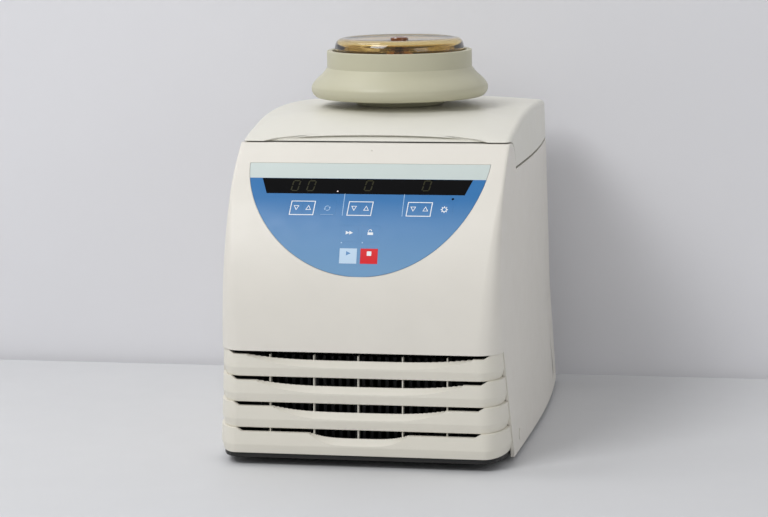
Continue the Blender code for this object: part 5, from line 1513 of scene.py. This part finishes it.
@dataclass
class Lid:
    """The lid's cover, with the fingertip crescent in its front edge."""

    shell: Shell
    seam: Seam
    wall: float = 0.003
    fall: float = 0.009
    flat_y: float = 0.030
    peak_y: float = 0.085
    brow: float = 3.3
    edge: float = 0.006
    rear_edge: float = 0.009
    crown: float = 0.0045
    crown_run: float = 0.050
    grip_half: float = 0.112
    grip_rise: float = 0.0058
    grip_depth: float = 0.0025
    grip_lip: float = 0.0020

    @property
    def crown_y(self) -> float:
        """Where the raked front meets the flat top."""
        return -self.shell.depth / 2 + self.shell.flare + self.shell.rake

    def height(self, y: float) -> float:
        """The top on the centre line: the front's ellipse, a gentle fall, the rounded rear edge."""
        shell = self.shell
        if y < self.crown_y:
            part = 1 - share(y, self.crown_y - shell.rake, self.crown_y)
            return shell.grille_top + (shell.top - shell.grille_top) * sqrt(1 - part**2)
        z = shell.top - self.fall * share(y, self.flat_y, shell.depth / 2) ** 2
        over = max(y - (shell.depth / 2 - self.rear_edge), 0.0)
        return z - (self.rear_edge - sqrt(max(self.rear_edge**2 - over**2, 0.0)))

    def dome(self, y: float) -> float:
        """How much lower the shoulders lie than the centre line: they rise slowly from the parting line.

        Args:
            y: along the machine.

        Returns:
            The drop.
        """
        shell = self.shell
        lip = shell.front_y(self.seam.front_z)
        arched = shell.top - (shell.top - self.seam.front_z) * (1 - share(y, lip, self.peak_y)) ** self.brow
        arched -= self.crown * share(y, lip, lip + self.crown_run)
        flat = min(self.height(y), shell.top) if y < self.crown_y else shell.top
        return max(flat - arched, 0.0) if y > lip else 0.0

    def half_width(self, y: float, z: float, inset: float) -> float:
        """Half the width at a place.

        Args:
            y: along the machine.
            z: the height.
            inset: how far inside the outer surface.

        Returns:
            The half width, inside the front and rear corners.
        """
        shell = self.shell
        width, run = shell.corner(z, inset)
        face = shell.front_y(z) + inset
        front = width * (1 - sqrt(1 - (1 - share(y, face, face + run)) ** 2))
        corner = shell.rear_corner - inset
        over = min(max(y - (shell.depth / 2 - inset - corner), 0.0), corner)
        return shell.side_x(y, z) - inset - front - (corner - sqrt(corner**2 - over**2))

    def section(self, y: float, inset: float, foot: float) -> list[Point3]:
        """An arch across the lid.

        Args:
            y: along the machine.
            inset: how far inside the outer surface.
            foot: its lower ends' height.

        Returns:
            Its points, from right to left.
        """
        top = self.height(y) - inset
        edge = self.edge - inset
        drop = self.dome(y)
        half = []
        for part in (0.0, 0.25, 0.5, 0.75):
            z = mix(foot, top - drop - edge, part)
            half.append((self.half_width(y, z, inset), z))
        for angle in turns(12):
            z = top - edge * (1 - sin(angle)) - drop
            half.append((self.half_width(y, z, inset) - edge * (1 - cos(angle)), z))
        last = half[-1][0]
        for part in (0.95, 0.9, 0.8, 0.7, 0.6, 0.5, 0.4, 0.3, 0.2, 0.1):
            half.append((last * part, top - drop * part**2))
        return [(x, y, z) for x, z in half] + [(0.0, y, top)] + [(-x, y, z) for x, z in reversed(half)]

    def form(self, name: str, inset: float, foot: float, surface: Surface | None = None) -> bpy.types.Object:
        """The lid's whole form, inset by its wall for the hollow.

        Args:
            name: the piece's name.
            inset: how far inside the outer surface.
            foot: its lower edge, before it is trimmed.
            surface: its finish, or none for a cutter.

        Returns:
            The object.
        """
        start, stop = self.seam.front_y - OVERRUN + inset, self.shell.depth / 2 - inset
        edge = self.rear_edge - inset / 2
        stations = [mix(start, self.crown_y, k / 26) for k in range(27)]
        stations += [mix(self.crown_y, stop - edge, k / 16) for k in range(1, 17)]
        stations += [stop - edge + edge * sin(a) for a in turns(10)[1:]]
        return loft(name, [self.section(y, inset, foot) for y in stations], surface)

    def crescent(self, name: str, rise: float, near: float) -> bpy.types.Object:
        """A half-moon cutter in the front edge.

        Args:
            name: the cutter's name.
            rise: how far it reaches up.
            near: how deep under the surface it starts.

        Returns:
            The cutter.
        """
        rings = []
        for k, angle in enumerate(turns(20, 0.0, pi / 2 * 20 / 20.4)):
            z = self.seam.front_z + rise * sin(angle) - (self.seam.gap if k == 0 else 0.0)
            half = self.grip_half * cos(angle)
            lean, front = self.shell.lean(z), self.shell.front_y(z)
            ring = []
            for depth, ends in ((near, (-half, half)), (self.grip_depth, (half, -half))):
                ring += [(x, front + depth * cos(lean), z - depth * sin(lean)) for x in ends]
            rings.append(ring)
        return loft(name, rings)

    def build(self) -> None:
        """Makes the cover and dresses what hangs under it."""
        foot = self.seam.skirt_z - OVERRUN
        cover = self.form("lid_moulding", 0.0, foot, Surface.LID)
        carve(cover, self.form("lid_inside", self.wall, foot - OVERRUN), self.seam.below())
        carve(cover, self.crescent("fingertip_recess", self.grip_rise, -OVERRUN))
        under = self.crescent("recess_undercut", self.grip_rise + self.grip_lip, self.grip_depth / 3)
        carve(cover, under)
        present(shade(cover, 28), Body.LID.value, ["lid_cover"])
        dress(Surface.LINER, "lid_liner")
        dress(Surface.STAINLESS, "lid_striker", "hinge_rod")
        dress(Surface.ZINC, "hinge_arm_left", "hinge_arm_right", "hinge_bracket_left", "hinge_bracket_right")


# Chamber, machine and rotor


@dataclass
class Chamber:
    """Bowl and gasket, turned finely, and the deck round them."""

    bowl_radius: float = 0.098
    bowl_wall: float = 0.0012
    floor_z: float = 0.190
    fillet: float = 0.014
    collar_z: float = 0.276
    collar: float = 0.0075
    liner_z: float = 0.2813
    spindle: float = 0.009

    def bend(self, radius: float, floor: float, size: float) -> list[Point2]:
        """The round between a wall and a floor."""
        return [(radius - size * (1 - cos(a)), floor + size * (1 - sin(a))) for a in turns(10)]

    def build(self) -> None:
        """Makes the bowl and the gasket and dresses the deck."""
        place = Matrix.Translation((0.0, CHAMBER_Y, 0.0))
        wall, floor = self.bowl_wall, self.floor_z
        outer = self.bowl_radius + wall
        collar_in = outer + SEAM
        lip, rim = collar_in + self.collar / 3, self.collar_z + SEAM
        hole = self.spindle + 2 * wall
        bowl = [(self.bowl_radius, rim + wall * 0.6), (self.bowl_radius + wall * 0.4, rim + wall)]
        bowl += [(lip - wall * 0.3, rim + wall), (lip, rim + wall * 0.7), (lip, rim), (outer, rim)]
        bowl += self.bend(outer, floor - wall, self.fillet + wall)
        bowl += [(hole, floor - wall), (hole, floor)]
        bowl += list(reversed(self.bend(self.bowl_radius, floor, self.fillet)))
        drawn = turned("bowl_drawn", bowl, Surface.STAINLESS, place)
        present(shade(drawn, 30), Body.CABINET.value, ["chamber_bowl"])

        low, high = lip + SEAM, collar_in + self.collar
        top = self.liner_z - SEAM
        seal = [(low, rim), (low + 0.0008, rim + 0.0030), ((low + high) / 2, top)]
        seal += [(high - 0.0006, top - wall * 0.8), (high, rim)]
        moulded = turned("gasket_moulded", swept(seal, 5), Surface.RUBBER, place)
        present(shade(moulded, 50), Body.CABINET.value, ["chamber_gasket"])
        dress(Surface.LINER, "top_deck")
        dress(Surface.FOAM, "chamber_insulation")


@dataclass
class Machinery:
    """What stands inside: chassis, drive, cooling machine, electrics and latch."""

    finishes: tuple[tuple[Surface, tuple[str, ...]], ...] = (
        (Surface.BLACK_STEEL, ("base_pan", "compressor")),
        (Surface.ZINC, ("chassis_frame", "armour_ring", "latch_case")),
        (Surface.RUBBER, ("foot_front_left", "foot_front_right", "foot_rear_left", "foot_rear_right")),
        (Surface.RUBBER, ("motor_buffer_1", "motor_buffer_2", "motor_buffer_3")),
        (Surface.MOTOR, ("motor", "fan_motor")),
        (Surface.STAINLESS, ("drive_spindle", "latch_hook")),
        (Surface.COPPER, ("evaporator_coil", "refrigerant_pipe")),
        (Surface.FINS, ("condenser",)),
        (Surface.BLACK_PLASTIC, ("fan_shroud", "condenser_fan")),
        (Surface.BOARD, ("power_board", "display_board")),
    )

    def build(self) -> None:
        """Dresses each solid."""
        for surface, nodes in self.finishes:
            dress(surface, *nodes)


@dataclass
class Rotor:
    """The aluminium rotor that stands on the lid, its hub, amber lid and knob."""

    base: float = 0.3303
    foot: float = 0.045
    radius: float = 0.091
    collar: float = 0.0746
    height: float = 0.0555
    rim: float = 0.0055
    holes: int = 24
    hole_radius: float = 0.0055
    hole_depth: float = 0.031
    mouth: float = 0.0535
    mouth_rise: float = 0.0345
    hub: float = 0.0155
    spindle: float = 0.009
    lid_radius: float = 0.0668
    lid_wall: float = 0.003
    lid_rise: float = 0.0125
    knob: float = 0.0093

    @property
    def place(self) -> Matrix:
        """Where the rotor's foot stands."""
        return Matrix.Translation((0.0, ROTOR_Y, self.base))

    def build_body(self) -> None:
        """The body: foot, bulging skirt, collar, and the ring of slanted holes."""
        height, radius, collar, rim = self.height, self.radius, self.collar, self.rim
        inner = collar - rim
        shelf = height * 0.78
        hub_z = self.mouth_rise - (self.mouth - self.hub * 1.5) * 0.72
        skirt = [
            (collar, height * 0.686),
            (radius * 0.8725, height * 0.575),
            (radius * 0.947, height * 0.463),
            (radius * 0.991, height * 0.369),
            (radius, height * 0.308),
            (radius * 0.991, height * 0.234),
            (radius * 0.959, height * 0.164),
            (radius * 0.912, height * 0.135),
            (radius * 0.769, height * 0.117),
            (radius * 0.530, height * 0.110),
            (self.foot, 0.0),
        ]
        profile = [(inner, shelf), (inner, height - 0.0008), (inner + 0.0005, height)]
        profile += [(collar - 0.0006, height), (collar, height - 0.0006)]
        profile += swept(skirt[:-1], 6) + skirt[-1:]
        profile += [(self.foot - rim, 0.0), (self.foot - rim * 1.5, height * 0.08), (self.hub + SEAM, height * 0.12)]
        profile += [(self.hub + SEAM, hub_z), (self.hub * 1.5, hub_z)]
        body = turned("rotor_turned", profile, Surface.ROTOR, self.place, 144)
        for k in range(self.holes):
            angle = tau * (k + 0.5) / self.holes
            out = Vector((cos(angle), sin(angle), 0.0))
            mouth = out * self.mouth + Vector((0.0, ROTOR_Y, self.base + self.mouth_rise))
            slope = (out - Vector((0.0, 0.0, 1.0))).normalized()
            start, stop = mouth - slope * self.hole_radius * 2, mouth + slope * self.hole_depth
            carve(body, rod("tube_hole", self.hole_radius, start, stop, 24))
        present(shade(body, 28), Body.ROTOR.value, ["rotor_body"])

    def build_hub(self) -> None:
        """The bronze hub with its chamfered top."""
        height, hub = self.height, self.hub
        top = height * 0.95
        profile = [
            (0.0, top),
            (hub * 0.45, top),
            (hub * 0.45, top - 0.0008),
            (hub * 0.62, top - 0.0008),
            (hub * 0.68, top),
            (hub * 0.75, top - 0.0003),
            (hub, top - self.rim / 2),
            (hub, height * 0.10),
            (self.spindle, height * 0.10),
            (self.spindle, height * 0.60),
            (0.0, height * 0.60),
        ]
        hub_turned = turned("hub_turned", profile, Surface.BRONZE, self.place, 96, closed=False)
        present(shade(hub_turned, 30), Body.ROTOR.value, ["rotor_hub"])

    def build_lid(self) -> None:
        """The dished amber lid, its seal and the knob."""
        height, radius, wall = self.height, self.lid_radius, self.lid_wall
        top = height + self.lid_rise
        dish = top - wall
        foot = height * 0.80 + self.rim / 2
        hole = self.knob + SEAM
        outside = swept(
            [
                (radius * 0.86, top - wall * 0.02),
                (radius * 0.92, top - wall * 0.30),
                (radius * 0.965, top - wall * 1.1),
                (radius * 0.99, top - wall * 2.4),
                (radius, height + wall * 0.6),
            ],
            6,
        )
        inside = swept(
            [
                (radius - wall, height + wall * 0.6),
                (radius * 0.975 - wall, top - wall * 2.6),
                (radius * 0.92 - wall * 0.6, top - wall * 1.6),
                (radius * 0.82 - wall * 0.3, top - wall * 1.15),
            ],
            6,
        )
        profile = [(hole, dish), (radius * 0.55, dish + wall * 0.30)]
        profile += [(radius * 0.80, dish + wall * 0.62), (radius * 0.835, top - wall * 0.06)]
        profile += outside + [(radius, foot), (radius - wall, foot)] + inside
        profile += [(radius * 0.55, dish - wall * 0.65), (hole, dish - wall)]
        cap = turned("cap_moulded", profile, Surface.AMBER, self.place, 144)
        present(shade(cap, 24), Body.CAP.value, ["rotor_lid"])

        seat = height * 0.78 + SEAM
        ring = [(radius - wall * 1.5, foot - SEAM), (radius + SEAM, foot - SEAM)]
        ring += [(radius + wall * 0.4, (foot + seat) / 2), (radius, seat), (radius - wall * 1.2, seat)]
        seal = turned("cap_seal", swept(ring, 4), Surface.RUBBER, self.place)
        present(shade(seal, 50), Body.CAP.value, ["rotor_lid_seal"])

        knob, crest = self.knob, top + wall * 0.15
        profile = [(0.0, crest - wall * 0.32), (knob * 0.50, crest - wall * 0.30), (knob * 0.62, crest - wall * 0.18)]
        profile += [(knob * 0.78, crest), (knob * 0.90, crest - wall * 0.06), (knob, crest - wall * 0.4)]
        profile += [(knob, dish - wall * 1.2), (knob * 0.6, dish - wall * 1.2)]
        profile += [(knob * 0.5, height * 0.95 + SEAM), (0.0, height * 0.95 + SEAM)]
        knob_turned = turned("knob_turned", profile, Surface.KNOB, self.place, 64, closed=False)
        present(shade(knob_turned, 30), Body.KNOB.value, ["rotor_lid_knob"])

    def build(self) -> None:
        """Makes every piece of the rotor."""
        self.build_body()
        self.build_hub()
        self.build_lid()


# The studio


@dataclass
class Studio:
    """Pale bench and backdrop, soft light, and the camera of the photograph."""

    bench_rear: float = 0.265
    bench_half: float = 3.0
    bench_front: float = -3.4
    bench_thick: float = 0.020
    wall_top: float = 2.4
    cove: float = 0.012
    lens: float = 117.19
    position: Point3 = (0.4781, -2.5158, 0.5618)
    turn: float = 0.1937
    pitch: float = 0.1515
    roll: float = -0.0126
    sky: float = 0.40

    def add_light(self, name: str, place: Point3, aim: Point3, size: float, power: float) -> None:
        """A square soft box.

        Args:
            name: the lamp's name.
            place: where it stands.
            aim: the point it faces.
            size: its side.
            power: its power in watts.
        """
        lamp = bpy.data.lights.new(name, "AREA")
        lamp.shape = "SQUARE"
        lamp.size = size
        lamp.energy = power
        item = bpy.data.objects.new(name, lamp)
        item.location = place
        item.rotation_euler = (Vector(aim) - Vector(place)).to_track_quat("-Z", "Y").to_euler()
        bpy.context.scene.collection.objects.link(item)
        LOG.info("%s: %.0f W", name, power)

    def add_camera(self) -> None:
        """The camera, from the directions it was found to look in."""
        ahead = Vector((-sin(self.turn) * cos(self.pitch), cos(self.turn) * cos(self.pitch), -sin(self.pitch)))
        right = Vector((cos(self.turn), sin(self.turn), 0.0))
        up = right.cross(ahead)
        across = cos(self.roll) * right + sin(self.roll) * up
        top = cos(self.roll) * up - sin(self.roll) * right
        camera = bpy.data.cameras.new("camera")
        camera.lens = self.lens
        camera.sensor_width = 36.0
        camera.clip_end = 30.0
        item = bpy.data.objects.new("camera", camera)
        matrix = Matrix((across, top, -ahead)).transposed().to_4x4()
        item.matrix_world = Matrix.Translation(self.position) @ matrix
        bpy.context.scene.collection.objects.link(item)
        bpy.context.scene.camera = item

    def build(self) -> None:
        """Makes bench, backdrop, lamps and camera."""
        half, rear, thick = self.bench_half, self.bench_rear, self.bench_thick
        outline = rounded([(self.bench_front, -thick), (rear, -thick), (rear, 0.0), (self.bench_front, 0.0)], 0.002)
        bench = prism("studio_bench", outline, Axis.X, -half, half, Surface.BENCH)
        gap = self.cove
        outline = [(rear + gap, -thick), (rear + gap, self.wall_top), (rear + 3 * gap, self.wall_top), (rear + 3 * gap, -thick)]
        wall = prism("studio_backdrop", rounded(outline, gap / 4), Axis.X, -half, half, Surface.BACKDROP)
        shade(bench, 30)
        shade(wall, 30)

        world = bpy.data.worlds.new("studio_air")
        world.use_nodes = True
        world.node_tree.nodes["Background"].inputs["Color"].default_value = (1.0, 1.0, 1.0, 1.0)
        world.node_tree.nodes["Background"].inputs["Strength"].default_value = self.sky
        bpy.context.scene.world = world
        self.add_light("key_box", (-1.4, -2.2, 2.6), (0.0, 0.0, 0.2), 1.5, 52.0)
        self.add_light("top_box", (-1.1, 0.2, 2.2), (0.0, 0.0, 0.2), 1.0, 13.0)
        self.add_light("fill_box", (2.2, -1.8, 1.2), (0.0, 0.0, 0.2), 1.2, 7.0)
        self.add_camera()
        bpy.context.scene.view_settings.view_transform = "Standard"


def main() -> None:
    """Builds every sub-assembly in order."""
    logging.basicConfig(level=logging.INFO, format="%(name)s %(message)s")
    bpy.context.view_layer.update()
    shell, seam = Shell(), Seam()
    panel = Panel(shell)
    Cabinet(shell, seam, panel).build()
    Keypad(panel).build()
    Grille(shell).build()
    Lid(shell, seam).build()
    Chamber().build()
    Machinery().build()
    Rotor().build()
    Studio().build()


if __name__ == "__main__":
    main()
